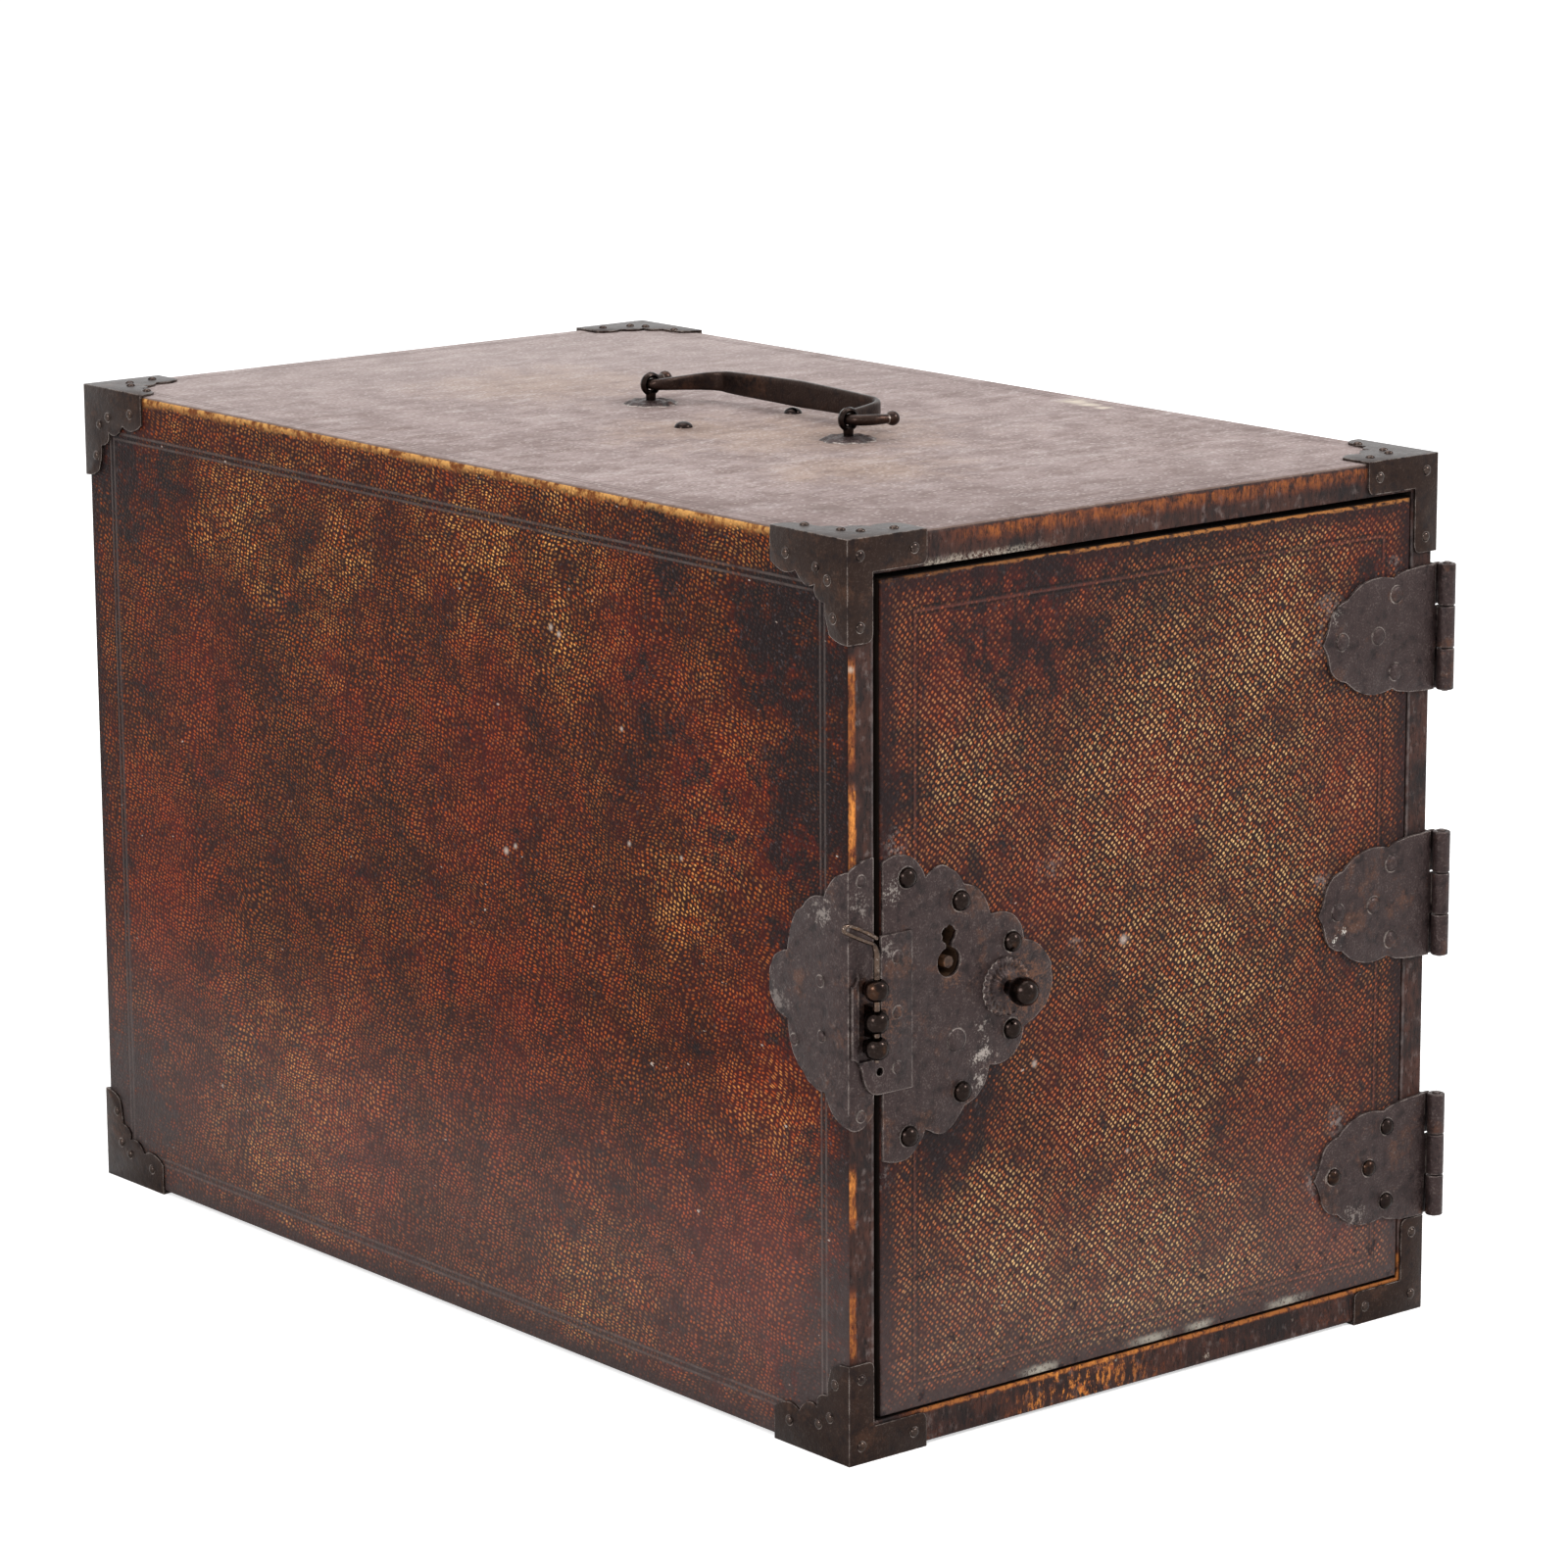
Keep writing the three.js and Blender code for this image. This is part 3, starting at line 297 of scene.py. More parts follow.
class Hide(Paint):
    """Leather on one face, drawn along the face's own two axes."""

    def __init__(self, name, axes, low_corner, high_corner):
        super().__init__(name)
        self.low_corner = low_corner
        self.high_corner = high_corner
        self.across, self.up = (getattr(self, axis) for axis in axes)
        self.origin = [CORNER["xyz".index(axis)] for axis in axes]
        self.flat = self.pair(self.across, self.up)
        self.fleck = self.cloud(FLECK_SIZE, 3.0, 0.6, shift=3.0)
        self.patch = self.cloud(PATCH_SIZE, 4.0, 0.62, shift=2.0)
        self.broad = self.cloud(BROAD_SIZE, 3.0, 0.6, shift=1.0)
        self.inner = self.inside(0, 0, 0, 0)

    def pair(self, first, second):
        return add_node(self.tree, "CombineXYZ", {0: first, 1: second}).outputs[0]

    def inside(self, left, right, under, over):
        """How far inside a rectangle a place is. The rectangle's sides lie that far in from the face's."""
        start_x, start_y = self.low_corner[0] + left, self.low_corner[1] + under
        end_x, end_y = self.high_corner[0] - right, self.high_corner[1] - over
        from_sides = (self.across - start_x).least(end_x - self.across)
        return from_sides.least((self.up - start_y).least(end_y - self.up))

    def from_left(self, across):
        """How far right of a place a point is. The place is in millimetres from the caps' corner."""
        return self.across - (self.origin[0] + across * MM)

    def right_of(self, across, fade):
        """0 up to a place and 1 past it, or the other way where the fade is negative. In millimetres."""
        return self.from_left(across).rise(0.0, fade * MM)

    def above(self, up, fade):
        """0 up to a height and 1 past it, in the same way."""
        return (self.up - (self.origin[1] + up * MM)).rise(0.0, fade * MM)

    def waver(self, small, broad=0.0):
        """A length around zero that strays from fleck to fleck, and more slowly from patch to patch."""
        strays = (self.fleck - 0.5) * small
        return strays + (self.patch - 0.5) * broad if broad else strays

    def grain(self, pitch, turn, long, randomness, sway):
        """A lattice of raised dots: how far a dot's middle is, and the dot's own number."""
        across = self.across + (self.cloud(SWAY_SIZE, 3.0, 0.4, shift=12.0) - 0.5) * sway
        up = self.up + (self.cloud(SWAY_SIZE, 3.0, 0.4, shift=13.0) - 0.5) * sway
        cos, sin = math.cos(turn), math.sin(turn)
        along = (across * cos + up * sin) * (1 / (pitch * long))
        beside = (up * cos - across * sin) * (1 / pitch)
        sockets = {"Vector": self.pair(along, beside), "Scale": 1.0, "Randomness": randomness}
        cells = add_node(self.tree, "TexVoronoi", sockets, voronoi_dimensions="2D")
        parts = add_node(self.tree, "SeparateColor", {0: cells.outputs["Color"]})
        return Field(self.tree, cells.outputs["Distance"]), Field(self.tree, parts.outputs[0])

    def near(self, places, ragged=RAGGED):
        """1 in the middle of some places and 0 past their ragged rims.

        Each is (across, up, radius) in millimetres, and the share that it reaches where that isn't all.
        """
        nearest = self.inner * 0 - 1
        for across, up, radius, *part in places:
            full = part[0] if part else 1
            spot = (self.origin[0] + across * MM, self.origin[1] + up * MM, 0)
            nearest = nearest.most(full - self.distance(self.flat, spot) * (full / (radius * MM)))
        torn = (self.patch - 0.5) * ragged + (self.fleck - 0.5) * ragged * 0.4
        return (nearest + torn).rise(0.0, 1.0)

    def tool(self, insets, lines):
        """Presses lines round the face: each (distance from their middle, half width, share, colour)."""
        middle = self.inside(*insets)
        pressed = middle * 0
        worn = self.patch.rise(0.2, 0.5) * 0.5 + self.fleck.rise(0.3, 0.6) * 0.5
        for at, half, share, shade in lines:
            line = (middle - at).size().rise(half, half * 0.3)
            self.coat(line * worn * share, shade)
            pressed = pressed.most(line)
        return pressed

    def dotted(self, look):
        """Dark leather whose raised dots are worn to gold, in patches, with black stains and tooled lines.

        Returns its relief and where it is dark.
        """
        middle, chance = self.grain(*(look[key] for key in ("pitch", "turn", "long", "random", "sway")))
        gold, red, stain = (self.near(look[key]) for key in ("gold", "red", "black"))
        mottle = self.cloud(MOTTLE_SIZE, 4.0, 0.65, shift=24.0)
        smear = self.cloud(MOTTLE_SIZE, 5.0, 0.7, look["smeared"], 25.0)
        dot = middle.rise(0.42, 0.14)
        reach = look["edge"]
        rim = self.inside(0, 0, 0, look["open_top"] * -reach)
        worn = look["worn"] + gold * look["more"] - stain * look["hushed"]
        worn = worn + (self.patch + smear - 1.0) * look["uneven"] + (self.fleck - 0.5) * 0.8
        worn = worn * (0.2 + rim.rise(0.0, reach) * 0.8)
        lit = (worn - chance * 0.55).rise(-0.25, 0.6)

        reddened = (mottle * 0.6 + self.broad * 0.5 + red * 0.22).rise(0.45, 0.95)
        self.colour = self.mix(reddened, look["ground"], look["red_ground"])
        self.coat(gold * mottle.rise(0.35, 0.65) * look["tan"], look["gold_ground"])
        dark = (stain * 0.8 + (0.5 - smear) * 2.4 + (self.fleck - 0.5) * 1.2).rise(0.1, 0.6)
        dark = dark.most(rim.rise(reach, reach * 0.3) * 0.7)
        self.coat(dark * 0.9, look["black_ground"])
        speck = self.mix(chance.rise(0.1, 0.9) * (0.4 + gold * 0.6), look["speck"], look["pale_speck"])
        speck = self.mix((red * 0.3 + mottle.rise(0.5, 0.7) * 0.4).least(1.0), speck, look["red_speck"])
        self.coat(lit * dot * (1 - dark * 0.75), speck)
        self.coat((1 - dot) * 0.4, look["black_ground"])
        bloom = self.cloud(BLOOM_SIZE, 3.0, 0.65, shift=26.0).rise(0.56, 0.74) * (1 - dot * 0.7)
        self.coat((bloom * (look["bloom"] + stain * 0.5)).least(1.0), look["bloom_tone"])

        pressed = self.tool(look["tooled"], look["lines"])
        # Painted reflection of the floor: below the height 'dusty' the leather turns lighter and greyer
        # towards the bottom
        self.coat(self.above(look["dusty"], FLOOR_REFLECTION_REACH) * (0.05 + self.fleck * 0.1), FLOOR_REFLECTION_TONE)
        scratch = self.cloud(SCRATCH_SIZE, 2.0, 0.5, (0.5, 0.5, 1), 21.0).rise(0.72, 0.78)
        self.coat(scratch.most(self.near(look["scuffs"], 1.4)) * 0.75, SCRATCH_TONE)
        return dot * 0.8 + self.fleck * 0.5 + self.patch + mottle * 0.5 - pressed * 1.2, dark

    def finish_dotted(self, look, relief, dark):
        rough = look["rough"] + self.fleck * 0.25 - dark * 0.08
        return self.finish(rough, relief, look["relief"], shine=look["shine"])


# A leather's look. Its dots are worn in places: everywhere a little, more where it is gold and less where it
# is black, and it is dark along its edge. Gold, red and black are (across, up, radius) in millimetres
SIDE_LOOK = {
    "pitch": 1.6 * MM,
    "turn": math.radians(16),
    "long": 1.45,
    "random": 0.45,
    "sway": 16 * MM,
    "worn": 0.42,
    "more": 0.26,
    "hushed": 0.3,
    "uneven": 1.0,
    "edge": 9 * MM,
    "open_top": 1,
    "tan": 0.3,
    # dusty: the height in millimetres below which a painted reflection of the floor lightens the leather
    "dusty": 150,
    "smeared": (1, 0.5, 1),
    "bloom": 0.5,
    "rough": 0.42,
    "relief": 0.22 * MM,
    "shine": 0.07,
    "gold": (
        (386, 310, 70, 0.6), (330, 302, 60, 0.7), (229, 324, 50), (172, 300, 50), (66, 262, 40, 0.5),
        (75, 225, 36), (361, 53, 70), (159, 30, 50), (95, 205, 40), (40, 130, 40), (70, 342, 34),
        (160, 345, 34),
    ),
    "red": (
        (130, 290, 44), (219, 228, 70), (77, 245, 50), (455, 138, 80), (60, 70, 80), (310, 239, 50),
        (200, 120, 90), (40, 150, 70), (420, 230, 60), (330, 60, 70),
    ),
    "black": (
        (467, 309, 40, 0.7), (18, 300, 50), (495, 30, 60), (10, 326, 44), (6, 175, 60), (12, 20, 40),
        (495, 330, 50), (22, 250, 56, 0.9), (44, 235, 40, 0.6), (8, 60, 30), (120, 262, 40, 0.4),
        (100, 330, 40, 0.4), (40, 305, 44), (64, 318, 34, 0.7), (10, 250, 44), (8, 115, 36, 0.7),
    ),
    "scuffs": (
        (210, 198, 2.2), (204, 201, 1.8), (131, 215, 1.8), (99, 215, 1.6), (135, 259, 1.6), (179, 292, 2.4),
        (174, 290, 2),
    ),
    "tooled": (14.4 * MM, 18.5 * MM, 13.3 * MM, 19 * MM),
    "lines": (
        (0.0, 3.2 * MM, 0.8, tone(32, 26, 26)),
        (-TOOL_HALF, 0.75 * MM, 0.5, tone(104, 92, 88)),
        (TOOL_HALF, 0.75 * MM, 0.5, tone(104, 92, 88)),
    ),
    "ground": tone(54, 26, 19),
    "red_ground": tone(96, 28, 21),
    "gold_ground": tone(92, 44, 20),
    "black_ground": tone(29, 24, 25),
    "speck": tone(166, 80, 31),
    "pale_speck": tone(255, 186, 104),
    "red_speck": tone(190, 70, 36),
    "bloom_tone": tone(84, 74, 76),
}
BACK_LOOK = SIDE_LOOK | {
    "gold": ((90, 250, 60), (220, 120, 60), (150, 60, 40)),
    "red": ((210, 250, 60), (80, 110, 50), (150, 300, 60)),
    "black": ((30, 320, 40), (275, 315, 40), (30, 30, 40), (280, 30, 40), (150, 180, 22)),
    "tooled": (16 * MM, 16 * MM, 13.3 * MM, 19 * MM),
}
DOOR_LOOK = {
    "pitch": 1.7 * MM,
    "turn": math.radians(45),
    "long": 1.3,
    "random": 0.4,
    "sway": 6 * MM,
    "worn": 0.52,
    "more": 0.3,
    "hushed": 0.5,
    "uneven": 0.6,
    "edge": 10 * MM,
    "open_top": 0,
    "tan": 0.15,
    # dusty: the height in millimetres below which a painted reflection of the floor lightens the leather
    "dusty": 120,
    "smeared": (1, 1, 0.7),
    "bloom": 0.3,
    "rough": 0.44,
    "relief": 0.2 * MM,
    "shine": 0.09,
    "gold": (
        (153, 250, 80), (205, 285, 60), (205, 215, 70), (128, 215, 50), (150, 120, 60), (60, 262, 44),
        (156, 46, 70), (85, 60, 50), (228, 310, 40), (180, 165, 70), (70, 90, 34),
    ),
    "red": (
        (99, 208, 50), (118, 140, 50), (262, 223, 50), (31, 215, 34), (248, 126, 54), (225, 91, 46),
        (262, 60, 54), (80, 322, 80), (270, 325, 50), (60, 292, 50), (150, 230, 40),
    ),
    "black": (
        (85, 312, 70, 0.6), (110, 300, 40, 0.6), (45, 175, 60), (50, 122, 36), (268, 285, 36), (268, 172, 34),
        (268, 64, 34), (22, 255, 26, 0.8), (140, 322, 40, 0.4),
    ),
    "scuffs": ((137, 180, 2.4), (92, 139, 2.2), (140, 96, 1.6), (210, 120, 1.4)),
    "tooled": (16.5 * MM, 14.5 * MM, 10.5 * MM, 13.5 * MM),
    "lines": (
        (-TOOL_HALF, 0.8 * MM, 0.75, tone(32, 26, 26)),
        (TOOL_HALF, 0.8 * MM, 0.75, tone(32, 26, 26)),
        (0.0, 0.7 * MM, 0.45, tone(112, 70, 62)),
    ),
    "ground": tone(56, 33, 29),
    "red_ground": tone(92, 36, 30),
    "gold_ground": tone(78, 44, 31),
    "black_ground": tone(36, 29, 30),
    "speck": tone(178, 97, 55),
    "pale_speck": tone(252, 206, 140),
    "red_speck": tone(172, 76, 48),
    "bloom_tone": tone(84, 74, 74),
}

# How far in from the side's upper edge its wear ends and starts, and how much that strays
SIDE_WEAR = (4.6 * MM, 1.0 * MM)
SIDE_STRAY = (9 * MM, 4 * MM)


def side_leather():
    hide = Hide("leather_side", "yz", (FRONT, BOTTOM), (BACK, TOP))
    relief, dark = hide.dotted(SIDE_LOOK)
    top_edge = hide.high_corner[1] - hide.up + hide.waver(*SIDE_STRAY)
    worn = hide.mix(hide.fleck.rise(0.38, 0.62), tone(112, 62, 30), tone(226, 168, 96))
    hide.coat(top_edge.rise(*SIDE_WEAR) * 0.9, worn)
    return hide.finish_dotted(SIDE_LOOK, relief, dark)


def back_leather():
    hide = Hide("leather_back", "xz", (LEFT, BOTTOM), (RIGHT, TOP))
    return hide.finish_dotted(BACK_LOOK, *hide.dotted(BACK_LOOK))


# Pale residue on the door by its plates, and chalk along its foot: (across, up, radius) in millimetres
DOOR_RESIDUE = (
    (244, 294, 10), (240, 280, 8), (281, 308, 6), (243, 186, 7), (252, 88, 8), (243, 64, 8), (262, 45, 6),
    (23, 233, 8), (100, 214, 9), (112, 182, 8), (18, 108, 7), (92, 139, 3), (137, 180, 3),
)
DOOR_CHALK = ((95, 20, 15), (153, 20, 14), (180, 20, 10), (227, 21, 17), (18, 24, 7))
CHALK_SIZE = 1.5 * MM
CHALK_DEPTH = (4.5 * MM, 2 * MM)
CHALK_STRAY = 3 * MM
DOOR_STRAY = (4 * MM, 4 * MM)
DOOR_LINE = (1.6 * MM, 0.8 * MM)
DOOR_LINE_FROM = 20
DOOR_LINE_REACH = 160 * MM
DOOR_LEFT = 15
DOOR_LEFT_WEAR = (2.4 * MM, 1.0 * MM)
DOOR_LEFT_STRAY = 2 * MM
DOOR_EDGE_SHADE = (0.5 * MM, 1.2 * MM)
SPOT_SIZE = 7 * MM


def door_leather():
    hide = Hide("leather_door", "xz", (DOOR_LOW.x, DOOR_LOW.z), (DOOR_HIGH.x, DOOR_HIGH.z))
    relief, dark = hide.dotted(DOOR_LOOK)
    top_edge = hide.high_corner[1] - hide.up + hide.waver(*DOOR_STRAY)
    along = hide.from_left(DOOR_LINE_FROM).rise(0.0, DOOR_LINE_REACH) + hide.patch * 0.6
    line = top_edge.rise(*DOOR_LINE) * along * (hide.fleck + hide.patch).rise(0.84, 1.04)
    hide.coat(line.least(1.0) * 0.75, tone(186, 122, 66))
    left_edge = hide.from_left(DOOR_LEFT) + hide.waver(DOOR_LEFT_STRAY)
    hide.coat(left_edge.rise(*DOOR_LEFT_WEAR) * hide.patch.rise(0.45, 0.65) * 0.4, tone(120, 62, 44))
    low_edge = hide.up - hide.low_corner[1] + hide.waver(CHALK_STRAY)
    grit = hide.cloud(CHALK_SIZE, 4.0, 0.75, shift=23.0).rise(0.36, 0.5)
    hide.coat(low_edge.rise(*CHALK_DEPTH) * hide.near(DOOR_CHALK, 1.2) * grit * 0.85, tone(190, 184, 170))
    hide.coat(hide.cloud(SPOT_SIZE, 3.0, 0.6, shift=27.0).rise(0.6, 0.68) * 0.75, tone(40, 35, 38))
    crumbs = hide.cloud(CRUMB_SIZE, 4.0, 0.7, shift=28.0).rise(0.45, 0.6)
    hide.coat(hide.near(DOOR_RESIDUE, 3.0) * crumbs * 0.55, tone(150, 138, 134))
    # Painted shade on the skin's edges and the hole walls, which face into the gap round the door
    hide.coat((hide.y - DOOR_LOW.y).rise(*DOOR_EDGE_SHADE) * 0.85, tone(24, 18, 17))
    return hide.finish_dotted(DOOR_LOOK, relief, dark)


# The rim's bounds, each a place and the length over which it fades, in millimetres from the caps' corner
STILE_BOUNDS = ((28, 4), (326, -4))
UPPER_RAIL = (330, 4)
LOWER_RAIL = (26, -2)
UPPER_WEAR_FROM = (40, 30)
PALE_BOUNDS = ((60, 40), (190, -70))
EDGE_WEAR_FROM = (20, 20)
CRUST_BOUNDS = ((36, 4), (110, -40))
# Worn stretches of the rim: (left, right, under, over) in millimetres, and how bright
RIM_STRIPS = (
    ((1, 4.6, 219, 262), 1.0),
    ((1, 4.6, 262, 309), 0.4),
    ((1, 4.6, 88, 118), 0.8),
    ((1, 4.6, 38, 70), 0.5),
)
STRIP_SIDE = (-0.8 * MM, 0.6 * MM)
STRIP_END = 6
RIM_CREAM = ((2.5, 302, 2.4), (5, 9, 2))
UPRIGHT_SIZE = 3 * MM
CRUST_SIZE = 1.4 * MM
RIM_BAND = ((0.8 * MM, 1.6 * MM), (8.5 * MM, 4 * MM))
RIM_STRAY = 4 * MM
FINE_STRAY = 2 * MM
RAIL_EDGE_WEAR = (2.2 * MM, 1.0 * MM)
RIM_LINE_IN = 11.5 * MM
RIM_LINE = (0.9 * MM, 0.3 * MM)
CRUST_DEPTH = (3.6 * MM, 1.2 * MM)
RIM_EDGE_SHADE = (0.4 * MM, 1.2 * MM)
RIM_RELIEF = 0.25 * MM


def rim_leather():
    """The narrow frame round the door: black and brown, worn to orange along its outer edges."""
    hide = Hide("leather_rim", "xz", (LEFT, BOTTOM), (RIGHT, TOP))
    upright = hide.cloud(UPRIGHT_SIZE, 4.0, 0.75, (1, 1, 0.35), 15.0)
    level = hide.cloud(CRUMB_SIZE, 4.0, 0.75, (0.7, 1, 0.5), 18.0)
    stiles = hide.above(*STILE_BOUNDS[0]) * hide.above(*STILE_BOUNDS[1])
    upper, lower = hide.above(*UPPER_RAIL), hide.above(*LOWER_RAIL)
    brown = (hide.patch * 0.6 + upright * 0.5).rise(0.42, 0.68)
    hide.colour = hide.mix(brown, tone(36, 29, 29), tone(76, 48, 40))
    hide.coat((hide.fleck * 0.6 + upright * 0.6).rise(0.62, 0.8) * 0.6, tone(118, 107, 104))

    edge = hide.inner + hide.waver(RIM_STRAY)
    band = edge.rise(*RIM_BAND[0]) * edge.rise(*RIM_BAND[1])
    hairs = level.rise(0.34, 0.6) * 0.6 + upright.rise(0.4, 0.6) * 0.4
    orange = hairs * band * upper * hide.right_of(*UPPER_WEAR_FROM)
    pale_low = lower * hide.right_of(*PALE_BOUNDS[0]) * hide.right_of(*PALE_BOUNDS[1])
    orange = orange.most(pale_low * (upright * 0.7 + level * 0.5).rise(0.6, 0.7))
    orange = orange.most(lower * (hide.patch * 0.7 + level * 0.9).rise(0.84, 1.0) * 0.45)
    rail_edge = (MOUTH_LOW.z - hide.up + hide.waver(FINE_STRAY)).rise(*RAIL_EDGE_WEAR)
    rail_edge = rail_edge * lower * hide.right_of(*EDGE_WEAR_FROM) * level.rise(0.3, 0.5)
    orange = orange.most(rail_edge * 0.85)
    glow = orange * (0.25 + pale_low * upright.rise(0.42, 0.6) * 0.6 + rail_edge * 0.3)
    stray = hide.waver(FINE_STRAY)
    for (left, right, under, over), bright in RIM_STRIPS:
        strip = (hide.from_left(left) + stray).rise(*STRIP_SIDE) * hide.above(under, STRIP_END)
        strip = strip * (hide.from_left(right) + stray).rise(*STRIP_SIDE[::-1]) * hide.above(over, -STRIP_END)
        orange = orange.most(strip * (0.3 + upright.rise(0.3, 0.6) * 0.7))
        glow = glow.most(strip * bright * (upright * 0.5 + level * 0.5).rise(0.38, 0.6))
    worn = hide.mix(glow, tone(112, 50, 30), tone(240, 152, 70))
    worn = hide.mix(glow * hide.fleck.rise(0.52, 0.62), worn, tone(120, 36, 22))
    hide.coat(orange * 0.92, worn)

    crack = hide.cloud(CRUMB_SIZE, 4.0, 0.7, (2.5, 1, 0.7), 16.0).rise(0.56, 0.64)
    hide.coat(crack * 0.7, tone(34, 27, 26))
    line = (hide.inner - RIM_LINE_IN).size().rise(*RIM_LINE)
    hide.coat(line * stiles * hide.fleck.rise(0.3, 0.6) * 0.4, tone(120, 110, 108))
    over_mouth = hide.up - MOUTH_HIGH.z + hide.waver(RIM_STRAY)
    crust = over_mouth.rise(*CRUST_DEPTH) * hide.right_of(*CRUST_BOUNDS[0]) * hide.right_of(*CRUST_BOUNDS[1])
    residue = crust * upper * hide.cloud(CRUST_SIZE, 4.0, 0.75, shift=17.0).rise(0.42, 0.58)
    cream = hide.cloud(MOTTLE_SIZE, 5.0, 0.75, shift=17.0).rise(0.64, 0.7) * lower
    hide.coat(residue.most(cream.most(hide.near(RIM_CREAM))) * 0.65, tone(196, 184, 168))
    # Painted shade on the hem that turns into the mouth, behind the rim's face
    hide.coat((hide.y - FRONT).rise(*RIM_EDGE_SHADE) * 0.9, tone(20, 15, 14))
    return hide.finish(0.45 + upright * 0.25, upright + hide.fleck - crack, RIM_RELIEF, shine=0.16)


# The top's stains: (across, up, radius) in millimetres. Its depth is measured from the front left corner
TOP_TAN = ((150, 380, 70), (150, 200, 80), (121, 242, 50), (110, 120, 50))
TOP_SOOT = ((151, 180, 26), (151, 308, 26), (121, 242, 16), (40, 60, 14))
TOP_TEAR = ((288, 196, 8), (286, 186, 7), (285, 176, 5))
TOP_GRAIN = (1.6 * MM, math.radians(25), 1.4, 0.8, 8 * MM)
BRUSH_SIZE = 7 * MM
TOP_SHADE = (170 * MM, 0.0)
TOP_LIGHT = (300 * MM, 560 * MM)
TOP_TOOLED = (9.5 * MM, 9.5 * MM, 9.5 * MM, 9.5 * MM)
TOP_LINES = [(at, 0.8 * MM, 0.5, tone(84, 70, 66)) for at in (-TOOL_HALF, TOOL_HALF)]
TOP_EDGE = (2.8 * MM, 0.6 * MM)
TOP_STRAY = 3 * MM
TOP_RELIEF = 0.16 * MM


def top_leather():
    """The top: dusty and bleached to a pinkish grey, with darker edges."""
    hide = Hide("leather_top", "xy", (LEFT, FRONT), (RIGHT, BACK))
    middle, chance = hide.grain(*TOP_GRAIN)
    dot = middle.rise(0.55, 0.2)
    brushed = hide.cloud(BRUSH_SIZE, 5.0, 0.7, (0.35, 1, 1), 31.0)
    deep = (hide.across - LEFT) * 0.35 + (hide.up - FRONT)
    hide.colour = hide.mix(hide.patch.rise(0.35, 0.65), tone(138, 122, 119), tone(166, 150, 147))
    hide.coat(hide.near(TOP_TAN) * 0.5, tone(168, 144, 124))
    hide.coat(brushed.rise(0.5, 0.68) * 0.5, tone(192, 180, 177))
    hide.coat(brushed.rise(0.48, 0.33) * 0.5, tone(110, 92, 86))
    hide.coat((hide.broad * 0.6 + hide.fleck * 0.6).rise(0.62, 0.8) * 0.5, tone(112, 94, 88))
    # Painted shade towards the front left, and painted light towards the back
    hide.coat(deep.rise(*TOP_SHADE) * 0.4, tone(98, 82, 80))
    hide.coat(deep.rise(*TOP_LIGHT) * 0.3, tone(192, 180, 177))
    hide.coat((1 - dot) * 0.22, tone(104, 86, 80))
    hide.coat(dot * chance.rise(0.75, 0.95) * 0.35, tone(204, 194, 190))
    pressed = hide.tool(TOP_TOOLED, TOP_LINES)
    hide.coat((hide.inner + hide.waver(TOP_STRAY)).rise(*TOP_EDGE) * 0.75, tone(92, 70, 58))
    hide.coat(hide.near(TOP_SOOT) * 0.5, tone(88, 70, 64))
    hide.coat(hide.near(TOP_TEAR) * 0.8, tone(214, 202, 186))
    relief = dot * 0.5 + hide.patch + hide.fleck * 0.6 + brushed * 0.5 - pressed
    return hide.finish(0.58 + hide.fleck * 0.2, relief, TOP_RELIEF, shine=0.16)


# Iron
RESIDUE = tone(172, 162, 154)
RUST = tone(106, 72, 54)
PAINT_SPOT = tone(226, 220, 210)
PLATE_MARKS = (
    ((65, -2, 159), 4, 0.7, RESIDUE), ((66, -2, 148), 5, 0.9, RESIDUE), ((64, -2, 138), 4, 0.8, RESIDUE),
    ((86, -2, 170), 16, 0.8, RUST), ((49, -2, 181), 6, 0.6, RUST), ((20, -2, 216), 5, 0.6, RESIDUE),
    ((20, -2, 170), 9, 0.5, RUST), ((12, -2, 172), 10, 0.5, RUST), ((17, -2, 196), 4, 0.4, RESIDUE),
    ((250, -2, 161), 2.4, 1.0, PAINT_SPOT), ((254, -2, 164), 2.4, 1.0, PAINT_SPOT),
    ((246, -2, 294), 5, 0.5, RESIDUE), ((262, -2, 46), 5, 0.5, RESIDUE), ((248, -2, 66), 4, 0.5, RESIDUE),
    ((-1, 38, 142), 9, 0.5, RESIDUE), ((-1, 29, 138), 7, 0.5, RESIDUE), ((-1, 15, 210), 6, 0.5, RESIDUE),
    ((-1, 42, 170), 8, 0.35, RESIDUE), ((5, -2, 214), 5, 0.4, RESIDUE),
)
IRON_SIZES = (14 * MM, 5 * MM, 2.4 * MM, 0.8 * MM)
IRON_PITS = 0.2 * MM


